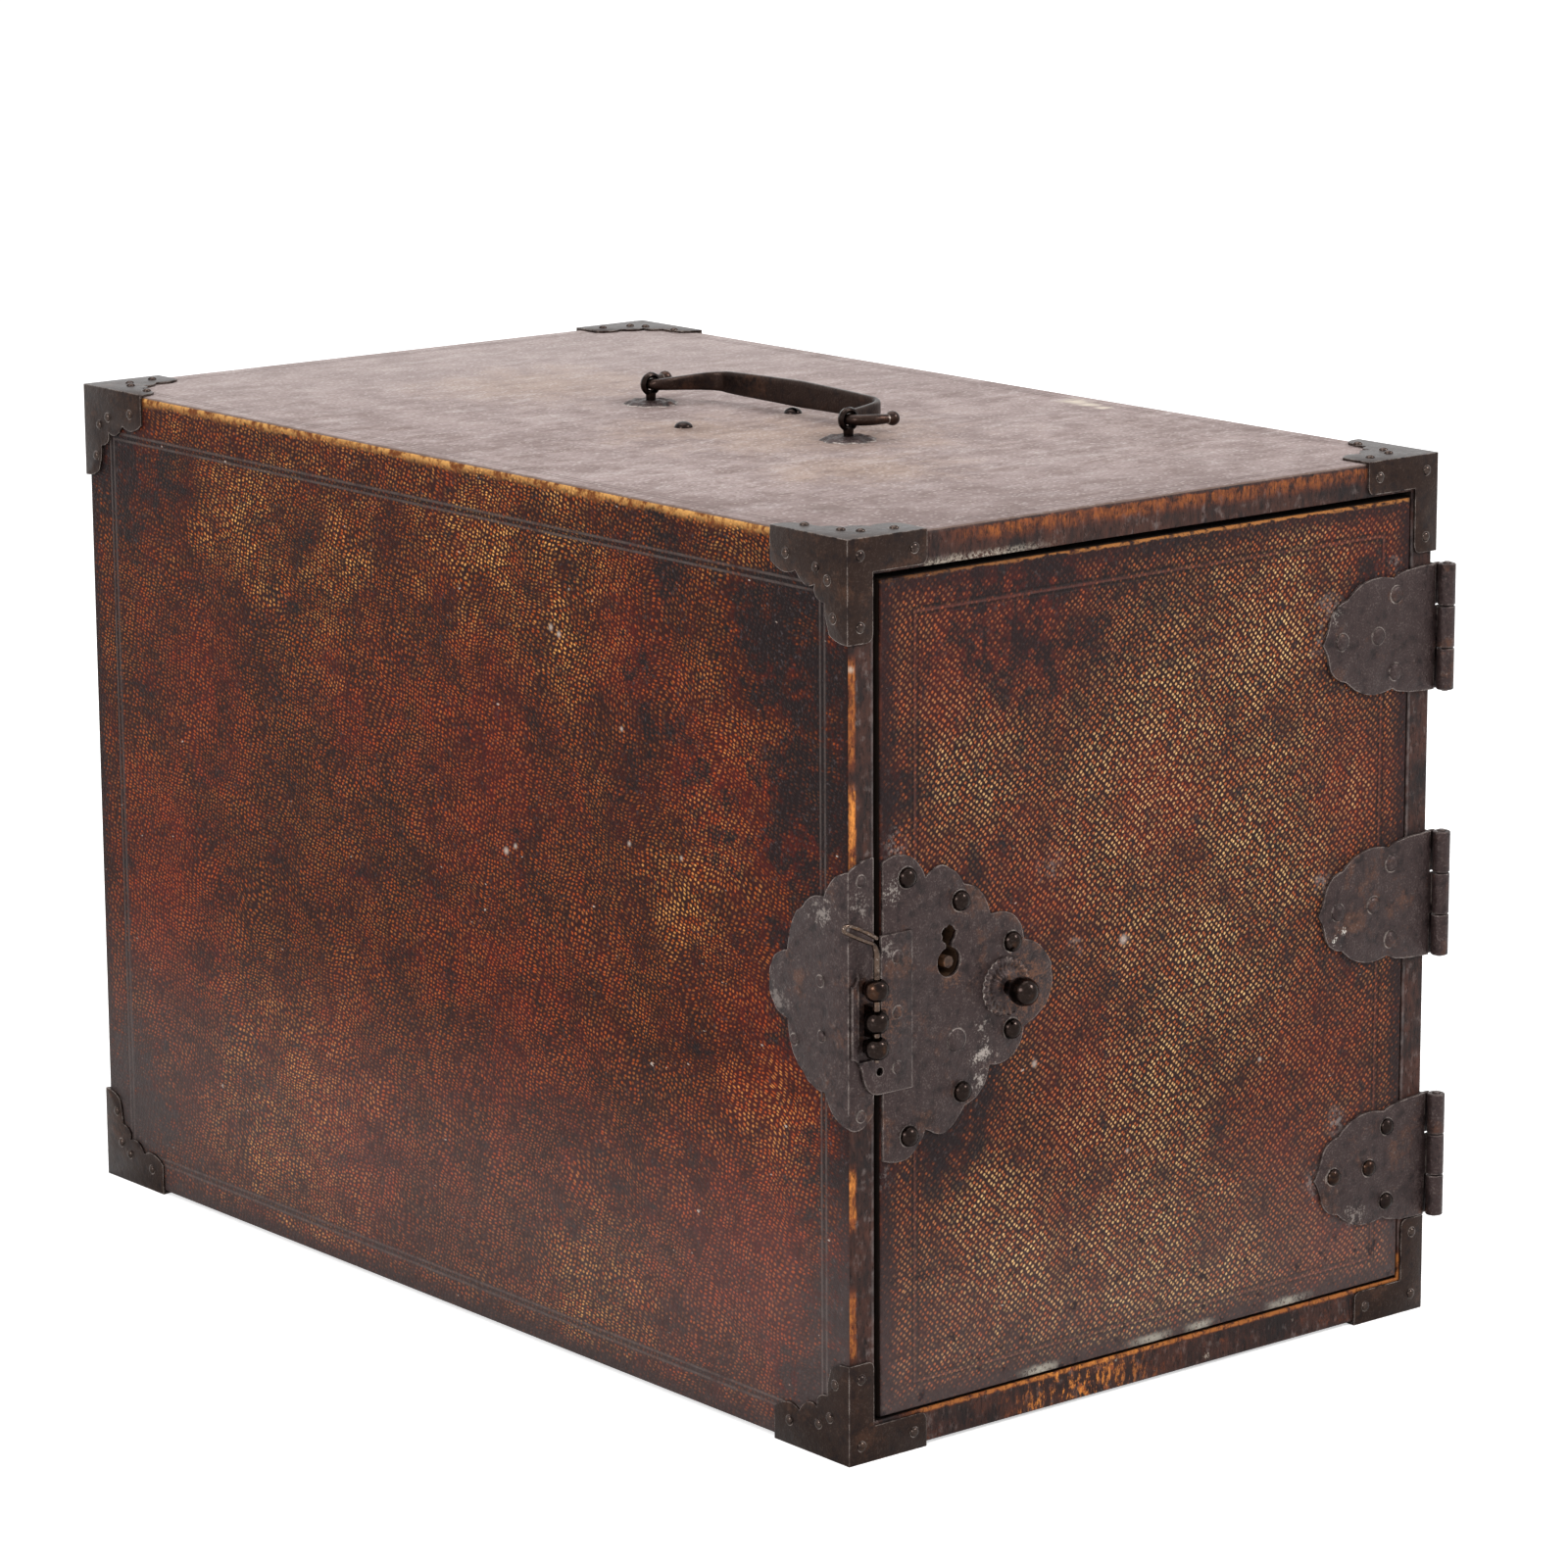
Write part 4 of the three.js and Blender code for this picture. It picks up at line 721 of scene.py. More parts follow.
def iron(name, dark, rust, pale, rusty=0.5, rough=0.4, pits=IRON_PITS, dusty=0.5, metal=0.5, shine=0.3,
         edges=0.0, marks=()):
    """Forged iron: dark skin, brown rust, pale scuffs and pits, and pale edges, partly worn bright and partly
    a painted highlight.

    Marks are stains: (place in millimetres from the caps' corner, radius, share, colour).
    """
    paint = Paint(name)
    broad_size, mottle_size, fine_size, grit_size = IRON_SIZES
    broad = paint.cloud(broad_size, 4.0, 0.6, shift=4.0)
    mottle = paint.cloud(mottle_size, 4.0, 0.65, shift=14.0)
    fine = paint.cloud(fine_size, 5.0, 0.7, shift=5.0)
    grit = paint.cloud(grit_size, 2.0, 0.6, shift=6.0)
    paint.colour = paint.mix((broad + fine * 0.5).rise(1.0 - rusty * 0.4, 1.15 - rusty * 0.4), dark, rust)
    paint.coat((mottle + fine * 0.4).rise(0.7, 0.52) * 0.8, tone(36, 29, 29))
    paint.coat((mottle * 0.4 + grit * 0.7).rise(0.57, 0.72) * dusty * 0.6, pale)
    scuff = (fine * 0.8 + grit * 0.5 + broad * 0.3).rise(0.98 - dusty * 0.1, 1.1 - dusty * 0.1)
    paint.coat(scuff * dusty, pale)
    torn = (mottle - 0.5) * 1.2 + (fine - 0.5) * 4.0 + (grit - 0.5) * 2.0
    for spot, radius, share, shade in marks:
        nearness = 1 - paint.distance(paint.place, of_chest(*spot)) * (0.7 / (radius * MM))
        paint.coat((nearness + torn).rise(0.45, 1.0) * share, shade)
    # The pale line along the edges is partly worn iron and partly a painted highlight
    if edges:
        rubbed_and_highlight = paint.corners(edges) * (mottle + fine * 0.4).rise(0.58, 0.8)
        paint.coat(rubbed_and_highlight * 0.85, tone(184, 172, 164))
    surface = rough * (0.6 + fine * 0.8) + grit * rough * 0.2
    return paint.finish(surface, broad * 3.0 + mottle * 2.0 + fine + grit * 0.3, pits, metal, shine)


# Timber
GRAIN_STRETCH_SHARE = 0.05
WOOD_SIZES = (60 * MM, 7 * MM, 1.1 * MM, 0.6 * MM, 9 * MM)
WOOD_CORNERS = 1.4 * MM
WOOD_RIM_SHADE = (3.5 * MM, 1.2 * MM)
WOOD_STRAY = 2 * MM
SEAM = (0.7 * MM, 0.3 * MM)
WOOD_RELIEF = 0.15 * MM
# Painted shade on the case's boards: how far from the front it starts, and where it is full
MOUTH_SHADE = (40 * MM, 12 * MM)
DOOR_SEAMS = (("x", 102), ("x", 206))


def timber(name, pale, dark, along, shade=None, seams=(), rim=None):
    """Board with grain along one axis. Painted shade darkens it near the door where shade is given, and round
    a node's rim.

    Seams between its planks are (axis, place in millimetres from the caps' corner).
    """
    paint = Paint(name)
    stretch = tuple(GRAIN_STRETCH_SHARE if axis == along else 1.0 for axis in "xyz")
    blotch_size, grain_size, fine_size, pore_size, wear_size = WOOD_SIZES
    blotch = paint.cloud(blotch_size, 3.0, 0.5, shift=9.0)
    grain = paint.cloud(grain_size, 5.0, 0.6, stretch, 7.0)
    fine = paint.cloud(fine_size, 3.0, 0.6, stretch, 8.0)
    pores = paint.cloud(pore_size, 2.0, 0.6, stretch, 10.0).rise(0.56, 0.68)
    wear = paint.cloud(wear_size, 4.0, 0.7, shift=11.0)
    paint.colour = paint.mix(grain.rise(0.35, 0.65), pale, dark)
    paint.coat((blotch + fine * 0.5).rise(0.6, 0.95) * 0.6, dark)
    paint.coat(pores * 0.55, tone(52, 34, 22))
    paint.coat(paint.corners(WOOD_CORNERS) * wear.rise(0.35, 0.6) * 0.6, tone(62, 44, 32))
    paint.coat((wear + fine * 0.3).rise(0.76, 0.9) * 0.5, tone(58, 42, 32))
    # Painted shade round the node's rim, on the edges that show through the door's seam
    if rim:
        start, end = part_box(rim)
        inner = (paint.x - start.x).least(end.x - paint.x).least(paint.z - start.z).least(end.z - paint.z)
        paint.coat((inner + wear * WOOD_STRAY).rise(*WOOD_RIM_SHADE) * 0.85, tone(26, 20, 18))
    for axis, place in seams:
        across = getattr(paint, axis) - (CORNER["xyz".index(axis)] + place * MM)
        paint.coat(across.size().rise(*SEAM) * 0.85, tone(26, 20, 17))
    # Painted shade on the boards near the door
    if shade:
        paint.coat((paint.y - FRONT).rise(*shade) * 0.93, tone(24, 19, 18))
    return paint.finish(0.5 + fine * 0.3, grain + fine - pores * 0.5, WOOD_RELIEF, shine=0.3)


# Meshes
def link_new(name, data):
    """Makes an object in the scene."""
    obj = bpy.data.objects.new(name, data)
    bpy.context.scene.collection.objects.link(obj)
    return obj


def as_mesh(name, bm):
    """Turns a mesh that is being built into a finished one."""
    mesh = bpy.data.meshes.new(name)
    bm.to_mesh(mesh)
    bm.free()
    return mesh


def apply_modifiers(obj):
    """Bakes an object's modifiers into its mesh."""
    graph = bpy.context.evaluated_depsgraph_get()
    baked = bpy.data.meshes.new_from_object(obj.evaluated_get(graph))
    obj.modifiers.clear()
    obj.data = baked
    return baked


def new_piece(name, bm, materials, body, replaced=(), rounding=0.0, sharp=38):
    """Makes an object of a mesh that is being built, rounds its edges and hangs it on a body."""
    bmesh.ops.remove_doubles(bm, verts=bm.verts, dist=WELD)
    obj = link_new(name, as_mesh(name, bm))
    for material in materials:
        obj.data.materials.append(material)
    if rounding:
        bevel = obj.modifiers.new("rounding", "BEVEL")
        bevel.width = rounding
        bevel.segments = 2
        bevel.limit_method = "ANGLE"
        bevel.angle_limit = ROUNDED_ANGLE
        bevel.use_clamp_overlap = True
        # Rounded edges take the second material, a lighter iron that is partly worn bright and partly a
        # painted highlight
        if len(materials) > 1:
            bevel.material = 1
        rounded = apply_modifiers(obj)
        rounded.name = name
        bm = bmesh.new()
        bm.from_mesh(rounded)
        bmesh.ops.dissolve_degenerate(bm, dist=SLIVER, edges=bm.edges)
        bm.to_mesh(rounded)
        bm.free()
    for vertex in obj.data.vertices:
        vertex.co = [min(max(value, least), most) for value, least, most in zip(vertex.co, *cad_box)]
    obj.data.shade_smooth()
    obj.data.set_sharp_from_angle(angle=math.radians(sharp))
    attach(obj, body)
    if replaced:
        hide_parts(*replaced)
    return obj


def iron_piece(node, bm, materials, body="case", rounding=0.0, sharp=38):
    """An iron piece that takes one node's place."""
    new_piece(f"{node}_fine", bm, materials, body, (node,), rounding, sharp)


def bend(start, control, end):
    """Points of a quadratic curve, without its start."""
    points = []
    for i in range(1, CURVE_STEPS + 1):
        t = i / CURVE_STEPS
        shares = ((1 - t) ** 2, 2 * t * (1 - t), t * t)
        points.append(tuple(sum(s * p[k] for s, p in zip(shares, (start, control, end))) for k in (0, 1)))
    return points


def hand_cut(points, amount=HAND_CUT, seed=0.0):
    """The same outline with the small errors of a chisel, except along the drawing's own axes."""
    cut = []
    for a, b in points:
        sample = Vector((a / HAND_CUT_SIZE, b / HAND_CUT_SIZE, seed))
        across, up = noise.noise(sample) * amount, noise.noise(sample + Vector((9, 9, 9))) * amount
        cut.append((a + across, b + up) if a and b else (a, b))
    return cut


def circle(centre, radius, sides=28):
    """A closed ring of points."""
    turns = [math.tau * i / sides for i in range(sides)]
    return [(centre[0] + radius * math.cos(turn), centre[1] + radius * math.sin(turn)) for turn in turns]


def lobes(start_share, rows, reach, half, edge, centre, way):
    """A lobed outline: half of it runs from the straight edge to the tip, and the rest mirrors it."""
    def at(a, b):
        return (edge + way * reach * a, centre + half * b)

    points = [at(0, start_share)]
    for a, b, c, d in rows:
        points += bend(points[-1], at(a, b), at(c, d))
    ends = [row[2:] for row in rows[:-1]][::-1] + [(0, start_share)]
    for (a, b, _, _), (c, d) in zip(rows[::-1], ends):
        points += bend(points[-1], at(a, -b), at(c, -d))
    return points


def add_ring(bm, places):
    """Corners at some places, and the edges that close them into a ring."""
    ring = [bm.verts.new(place) for place in places]
    return ring, [bm.edges.new((ring[i - 1], ring[i])) for i in range(len(ring))]


def add_plate(bm, outline, placed, thick, holes=()):
    """A flat sheet. placed(a, b, t) turns a place on the drawing and a depth under its face into 3D."""
    edges = []
    for loop in (outline, *holes):
        edges += add_ring(bm, [placed(a, b, 0.0) for a, b in loop])[1]
    made = bmesh.ops.triangle_fill(bm, use_beauty=True, use_dissolve=False, edges=edges)["geom"]
    faces = [item for item in made if isinstance(item, bmesh.types.BMFace)]
    before = {v for f in faces for v in f.verts}
    push = placed(0.0, 0.0, thick) - placed(0.0, 0.0, 0.0)
    grown = bmesh.ops.extrude_face_region(bm, geom=faces, use_keep_orig=True)["geom"]
    moved = [v for v in grown if isinstance(v, bmesh.types.BMVert) and v not in before]
    bmesh.ops.translate(bm, vec=push, verts=moved)
    linked = {f for v in list(before) + moved for f in v.link_faces}
    bmesh.ops.recalc_face_normals(bm, faces=list(linked))


def turned_to(way, axis="Z"):
    """A matrix that turns an axis to point along a way."""
    return Vector(way).to_track_quat(axis, "Y").to_matrix().to_4x4()


def in_mm(profile):
    return [(radius * MM, along * MM) for radius, along in profile]


def add_lathe(bm, profile, place, way, sides=LATHE_SIDES, flutes=0, depths=(0.0, 0.0), material=0):
    """Turns a profile of (radius, distance) points about a way. Points at radius zero close it.

    Flutes wave the rim by the first depth, a share of the radius, and the face by the second, a length.
    """
    widest = max(radius for radius, _ in profile)
    turn = Matrix.Translation(place) @ turned_to(way)
    rings = []
    for radius, along in profile:
        if not radius:
            rings.append([bm.verts.new(turn @ Vector((0, 0, along)))])
            continue
        ring = []
        for i in range(sides):
            angle = math.tau * i / sides
            wave = math.cos(flutes * angle) * (radius / widest) ** 3 if flutes else 0
            rim = radius * (1 + depths[0] * (wave - 1))
            rise = depths[1] * (wave - 1) if along > 0 else 0
            spot = Vector((rim * math.cos(angle), rim * math.sin(angle), max(along + rise, min(along, 0))))
            ring.append(bm.verts.new(turn @ spot))
        rings.append(ring)
    faces = []
    for first, second in zip(rings, rings[1:]):
        for i in range(sides):
            j = (i + 1) % sides
            corners = [first[i % len(first)], first[j % len(first)]]
            corners += [second[j % len(second)], second[i % len(second)]]
            corners = list(dict.fromkeys(corners))
            if len(corners) > 2:
                faces.append(bm.faces.new(corners))
    for face in faces:
        face.material_index = material
    bmesh.ops.recalc_face_normals(bm, faces=faces)


def add_dome(bm, place, way, size, material=0):
    """A domed nail head of (radius, rise), a little uneven, sunk slightly into what it holds."""
    radius, rise = size
    profile = [(0.0, -DOME_SUNK), (radius * DOME_BASE_SHARE, -DOME_SUNK)]
    for i in range(DOME_RINGS):
        angle = math.pi / 2 * i / DOME_RINGS
        profile.append((radius * math.cos(angle), rise * math.sin(angle)))
    profile.append((0.0, rise))
    lean = Vector(way) + noise.noise_vector(Vector(place) / LEAN_SIZE) * LEAN_SHARE
    add_lathe(bm, profile, place, lean, DOME_SIDES, material=material)


def add_rosette(bm, profile, place, way, sides, flutes, depths):
    """A pierced disc with a waved rim and face."""
    points = in_mm(profile)
    points += [(points[0][0], 0.0), points[0]]
    add_lathe(bm, points, place, way, sides, flutes, depths)


def rod_profile(bore, radius, start, end, soft):
    """The profile of a rod with softened ends, or of a tube where there is a bore."""
    points = [(bore, start), (radius - soft, start), (radius, start + soft)]
    points += [(radius, end - soft), (radius - soft, end), (bore, end)]
    return points + points[:1] if bore else points


def add_wire(bm, path, radii, sides=WIRE_SIDES, up=UP, squares=None):
    """A bar along a path. radii are (half width, half height) at each point, and squares its squareness."""
    rings = []
    for i, place in enumerate(path):
        ahead = path[min(i + 1, len(path) - 1)] - path[max(i - 1, 0)]
        side = ahead.cross(up).normalized()
        rise = side.cross(ahead).normalized()
        wide, tall = radii[i]
        power = 2 / (squares[i] if squares else 2)
        ring = []
        for k in range(sides):
            angle = math.tau * k / sides
            c, s = math.cos(angle), math.sin(angle)
            a = math.copysign(abs(c) ** power, c) * wide
            b = math.copysign(abs(s) ** power, s) * tall
            ring.append(bm.verts.new(place + side * a + rise * b))
        rings.append(ring)
    faces = []
    for first, second in zip(rings, rings[1:]):
        for k in range(sides):
            j = (k + 1) % sides
            faces.append(bm.faces.new((first[k], first[j], second[j], second[k])))
    faces.append(bm.faces.new(rings[0][::-1]))
    faces.append(bm.faces.new(rings[-1]))
    bmesh.ops.recalc_face_normals(bm, faces=faces)


def straight(start, end, steps):
    return [start.lerp(end, i / steps) for i in range(steps + 1)]


def add_bar(bm, start, end, half_sizes):
    """A straight bar of nearly square section."""
    count = BAR_STEPS + 1
    add_wire(bm, straight(start, end, BAR_STEPS), [half_sizes] * count, squares=[BAR_SQUARENESS] * count)


def smooth_path(points, steps):
    """A smooth curve through points, with that many steps between each two."""
    ends = [points[0] * 2 - points[1], *points, points[-1] * 2 - points[-2]]
    path = [points[0]]
    for before, start, end, after in zip(ends, ends[1:], ends[2:], ends[3:]):
        for i in range(1, steps + 1):
            t = i / steps
            square = (2 * before - 5 * start + 4 * end - after) * t * t
            cube = (3 * start - before - 3 * end + after) * t ** 3
            path.append(0.5 * (2 * start + (end - before) * t + square + cube))
    return path


def on_front(face):
    return lambda a, b, t: Vector((a, face + t, b))


def on_right(face):
    return lambda a, b, t: Vector((face - t, a, b))


# Stage, lamps and camera
def build_camera():
    data = bpy.data.cameras.new("camera")
    data.lens = CAMERA_LENS
    data.sensor_width = CAMERA_SENSOR
    data.clip_end = CAMERA_CLIP
    camera = link_new("camera", data)
    turn = turned_to(CAMERA_WAY, "-Z") @ Matrix.Rotation(CAMERA_ROLL, 4, "Z")
    camera.matrix_world = Matrix.Translation(CORNER + CAMERA_PLACE) @ turn
    bpy.context.scene.camera = camera


def build_lamps():
    for name, place, size, power in LAMPS:
        data = bpy.data.lights.new(name, "AREA")
        data.shape = "RECTANGLE"
        data.size, data.size_y = size
        data.energy = power
        lamp = link_new(name, data)
        lamp.matrix_world = Matrix.Translation(place) @ turned_to(LAMP_AIM - Vector(place), "-Z")


def build_world():
    """White where it is seen, directly or as a shine, and dimmer where it lights the chest."""
    world = bpy.data.worlds.new("studio")
    bpy.context.scene.world = world
    world.use_nodes = True
    tree = world.node_tree
    rays = add_node(tree, "LightPath", {}).outputs
    seen = rays["Is Camera Ray"]
    for other in ("Is Transmission Ray", "Is Glossy Ray"):
        seen = add_node(tree, "Math", {0: seen, 1: rays[other]}, operation="MAXIMUM").outputs[0]
    strength = add_node(tree, "MapRange", {"Value": seen, "To Min": SKY_LIGHT, "To Max": 1.0})
    back = tree.nodes["Background"].inputs
    plug(tree, strength.outputs[0], back["Strength"])
    plug(tree, WHITE, back["Color"])


def build_floor():
    """White paper that glows a little where the camera sees it."""
    bm = bmesh.new()
    bmesh.ops.create_grid(bm, x_segments=8, y_segments=8, size=FLOOR_HALF)
    floor = link_new("floor", as_mesh("floor", bm))
    material = bpy.data.materials.new("floor_paper")
    material.use_nodes = True
    tree = material.node_tree
    paper = tree.nodes["Principled BSDF"]
    for socket, value in (("Base Color", PAPER), ("Roughness", 0.9), ("Specular IOR Level", 0.1)):
        plug(tree, value, paper.inputs[socket])
    seen = add_node(tree, "LightPath", {}).outputs["Is Camera Ray"]
    lift = add_node(tree, "Math", {0: seen, 1: FLOOR_GLOW}, operation="MULTIPLY").outputs[0]
    glow = add_node(tree, "Emission", {"Strength": lift}).outputs[0]
    both = add_node(tree, "AddShader", {0: paper.outputs[0], 1: glow}).outputs[0]
    plug(tree, both, tree.nodes["Material Output"].inputs["Surface"])
    floor.data.materials.append(material)


# Leather over the case and the door
SIDE_SLOT, TOP_SLOT, RIM_SLOT, BACK_SLOT = range(4)
STEEP_COSINE = 0.7
MOUTH_SLACK = 1 * MM
CASE_SKINS = [f"leather_{side}" for side in ("left", "right", "top", "bottom", "back", "front_rim")]


def add_shell(bm, low_corner, high_corner, mouth_low, mouth_high, deep):
    """A box whose front has an opening, with the opening's own edges turned in."""
    x, y, z = zip(low_corner, high_corner)
    both = (0, 1)
    outer = {(i, j, k): bm.verts.new((x[i], y[j], z[k])) for i in both for j in both for k in both}
    mx, mz = (mouth_low.x, mouth_high.x), (mouth_low.z, mouth_high.z)
    near = {(i, k): bm.verts.new((mx[i], y[0], mz[k])) for i in both for k in both}
    far = {(i, k): bm.verts.new((mx[i], y[0] + deep, mz[k])) for i in both for k in both}
    turns = [(0, 0), (1, 0), (1, 1), (0, 1)]
    for (i, k), (m, n) in zip(turns, turns[1:] + turns[:1]):
        bm.faces.new((outer[i, 0, k], outer[m, 0, n], outer[m, 1, n], outer[i, 1, k]))
        bm.faces.new((outer[i, 0, k], outer[m, 0, n], near[m, n], near[i, k]))
        bm.faces.new((near[i, k], near[m, n], far[m, n], far[i, k]))
    bm.faces.new([outer[i, 1, k] for i, k in turns])
    bmesh.ops.recalc_face_normals(bm, faces=bm.faces)
    hem = set(near.values())
    inside = hem | set(far.values())
    outer_edges = [e for e in bm.edges if not set(e.verts) & inside]
    hem_edges = [e for e in bm.edges if set(e.verts) <= hem]
    for edges, rounding, segments in ((outer_edges, LEATHER_ROUND, 4), (hem_edges, RIM_ROUND, 3)):
        still = [e for e in edges if e.is_valid]
        bmesh.ops.bevel(bm, geom=still, offset=rounding, segments=segments, profile=0.5, affect="EDGES")


def build_case_leather(materials):
    bm = bmesh.new()
    add_shell(bm, Vector((LEFT, FRONT, BOTTOM)), Vector((RIGHT, BACK, TOP)), MOUTH_LOW, MOUTH_HIGH, SKIN)
    slack = Vector((MOUTH_SLACK, 0, MOUTH_SLACK))
    least, most = MOUTH_LOW - slack, MOUTH_HIGH + slack
    for face in bm.faces:
        way, middle = face.normal, face.calc_center_median()
        in_mouth = least.x < middle.x < most.x and least.z < middle.z < most.z
        if in_mouth and middle.y < FRONT + SKIN:
            face.material_index = RIM_SLOT
        elif abs(way.z) > STEEP_COSINE:
            face.material_index = TOP_SLOT if way.z > 0 else SIDE_SLOT
        elif abs(way.y) > STEEP_COSINE:
            face.material_index = RIM_SLOT if way.y < 0 else BACK_SLOT
    new_piece("case_leather", bm, materials, "case", CASE_SKINS)


def build_door_leather(material):
    """The door's skin. Only the four edges between its front corners are rounded."""
    left, right, bottom, top = DOOR_LOW.x, DOOR_HIGH.x, DOOR_LOW.z, DOOR_HIGH.z
    corners = [(left, bottom), (right, bottom), (right, top), (left, top)]
    bm = bmesh.new()
    add_plate(bm, corners, on_front(DOOR_LOW.y), DOOR_HIGH.y - DOOR_LOW.y, lock_holes(HOLE_SLACK))

    def at_corner(vert):
        off = min(abs(vert.co.x - a) + abs(vert.co.z - b) for a, b in corners)
        return off < WELD and abs(vert.co.y - DOOR_LOW.y) < WELD

    def is_level(edge):
        start, end = (vert.co for vert in edge.verts)
        return abs(start.x - end.x) < WELD or abs(start.z - end.z) < WELD

    front = [edge for edge in bm.edges if all(map(at_corner, edge.verts)) and is_level(edge)]
    bmesh.ops.bevel(bm, geom=front, offset=DOOR_ROUND, segments=4, profile=0.5, affect="EDGES")
    new_piece("door_hide", bm, [material], "door", ("door_leather",))


# Corner caps
CAP_ALONG = Vector((38, 44, 39)) * MM
CAP_LIP = 1.0 * MM
CAP_END_ROUND = 3.4 * MM
# How fast the askew cut at a fold runs out, as a share of the distance from the fold
FOLD_SHARE = 0.3
CAP_NAIL = (1.9 * MM, 1.1 * MM)
SCALLOP_START = (1, 0.333)
SCALLOP_SHARES = (
    (0.824, 0.487, 0.67, 0.385),
    (0.545, 0.572, 0.42, 0.482),
    (0.455, 0.628, 0.289, 0.641),
    (0.295, 0.77, 0.239, 0.923),
    (0.16, 1, 0, 1),
)
CAP_NAIL_SHARES = ((0.8, 0.24), (0.41, 0.32), (0.26, 0.42), (0.19, 0.77))


def scallop(along, across):
    """A scalloped leg of a cap, which narrows from its corner to its tip."""
    points = [(0.0, 0.0), (along, 0.0), (along * SCALLOP_START[0], across * SCALLOP_START[1])]
    for a, b, c, d in SCALLOP_SHARES:
        points += bend(points[-1], (along * a, across * b), (along * c, across * d))
    return points


def straight_legs(stile, rail):
    """A cap's outline on the narrow frame round the door."""
    along, tall = CAP_ALONG.x, CAP_ALONG.z
    points = [(0.0, 0.0), (along, 0.0), (along, rail - CAP_END_ROUND)]
    points += bend(points[-1], (along, rail), (along - CAP_END_ROUND, rail))
    points += [(stile, rail), (stile, tall - CAP_END_ROUND)]
    points += bend(points[-1], (stile, tall), (stile - CAP_END_ROUND, tall))
    points.append((0.0, tall))
    return points


def add_folded_legs(bm, legs, thick):
    """The legs of one folded sheet, each an outline and its way into 3D.

    An outline's stretches along the drawing's axes are its folds. A leg is open there, with its edge cut
    askew, so that the legs join without a seam.
    """
    for outline, placed in legs:
        rings = []
        for deep in (0.0, thick):
            inwards = [(max(a, deep + FOLD_SHARE * a), max(b, deep + FOLD_SHARE * b)) for a, b in outline]
            ring, edges = add_ring(bm, [placed(a, b, deep) for a, b in inwards])
            bmesh.ops.triangle_fill(bm, use_beauty=True, use_dissolve=False, edges=edges)
            rings.append(ring)
        outer, inner = rings
        for i, (a, b) in enumerate(outline):
            before_a, before_b = outline[i - 1]
            if not (before_a == a == 0 or before_b == b == 0):
                bm.faces.new((outer[i - 1], outer[i], inner[i], inner[i - 1]))
    bmesh.ops.remove_doubles(bm, verts=bm.verts, dist=WELD)
    bmesh.ops.recalc_face_normals(bm, faces=bm.faces)


def build_cap(name, signs, iron_set):
    """One cap. The signs say which way the chest lies from its corner."""
    sx, sy, sz = signs
    reach = CAP_SHEET + SEAT
    x = LEFT - reach if sx > 0 else RIGHT + reach
    y = FRONT - reach if sy > 0 else BACK + reach
    z = BOTTOM - reach if sz > 0 else TOP + reach
    corner = Vector((x, y, z))
    along, deep, tall = CAP_ALONG
    stile = MOUTH_LOW.x - LEFT + CAP_SHEET - CAP_LIP
    rail = (MOUTH_LOW.z - BOTTOM if sz > 0 else TOP - MOUTH_HIGH.z) + CAP_SHEET - CAP_LIP

    def side(a, b, t=0):
        return corner + Vector((sx * t, sy * a, sz * b))

    def face(a, b, t=0):
        return corner + Vector((sx * a, sy * t, sz * b))

    def flat(a, b, t=0):
        return corner + Vector((sx * a, sy * b, sz * t))

    seed = sx * 3 + sy * 5 + sz * 7
    shape = straight_legs(stile, rail) if sy > 0 else scallop(along, tall)
    side_leg = (hand_cut(scallop(deep, tall), seed=seed), side)
    face_leg = (hand_cut(shape, HAND_CUT / 2, seed + 1), face)
    flat_leg = (hand_cut(scallop(along, deep), seed=seed + 2), flat)
    bm = bmesh.new()
    add_folded_legs(bm, (side_leg, face_leg, flat_leg), CAP_SHEET)
    for a, b in CAP_NAIL_SHARES:
        add_dome(bm, side(a * deep, b * tall), Vector((-sx, 0, 0)), CAP_NAIL, 2)
        if sz < 0:
            add_dome(bm, flat(b * along, a * deep), UP, CAP_NAIL, 2)
        if sy < 0:
            add_dome(bm, face(a * along, b * tall), -TO_FRONT, CAP_NAIL, 2)
    if sy > 0:
        for a, b in ((stile / 2, rail / 2), (along - stile / 2, rail / 2), (stile / 2, tall - stile / 2)):
            add_dome(bm, face(a, b), TO_FRONT, CAP_NAIL, 2)
    iron_piece(name, bm, iron_set, "case", PLATE_ROUND)


def build_caps(iron_set):
    for front_name, sy in (("front", 1), ("back", -1)):
        for side_name, sx in (("left", 1), ("right", -1)):
            for level_name, sz in (("bottom", 1), ("top", -1)):
                build_cap(f"corner_cap_{front_name}_{side_name}_{level_name}", (sx, sy, sz), iron_set)


# Hinges
KNUCKLE_RADIUS = 3.5 * MM
KNUCKLE_BORE = 1.9 * MM
KNUCKLE_GAP = 0.3 * MM
KNUCKLE_SOFT = 0.35 * MM
PIN_RADIUS = 1.6 * MM
PIN_HEAD = 0.6 * MM
PIN_SOFT = 0.3 * MM
LEAF_SHEET = 1.2 * MM
LEAF_REACH = 65.5 * MM
LEAF_SHARES = ((0.36, 1, 0.41, 0.87), (0.64, 1.04, 0.8, 0.64), (0.93, 0.6, 0.95, 0.25), (0.97, 0.1, 1, 0))
LEAF_NAIL_SHARES = ((0.39, 0.61), (0.39, -0.61), (0.54, 0.0), (0.84, 0.0))
LEAF_NAIL_RADIUS = 3.5 * MM
# By hinge: how high its nails are, and which of the plates' materials they have
LEAF_NAILS = {"lower": (2.5 * MM, 2), "middle": (1.8 * MM, 0), "upper": (1.5 * MM, 0)}


def add_knuckle(bm, axis, start, end):
    """A rolled knuckle with softened ends."""
    add_lathe(bm, rod_profile(KNUCKLE_BORE, KNUCKLE_RADIUS, start, end, KNUCKLE_SOFT), axis, UP)


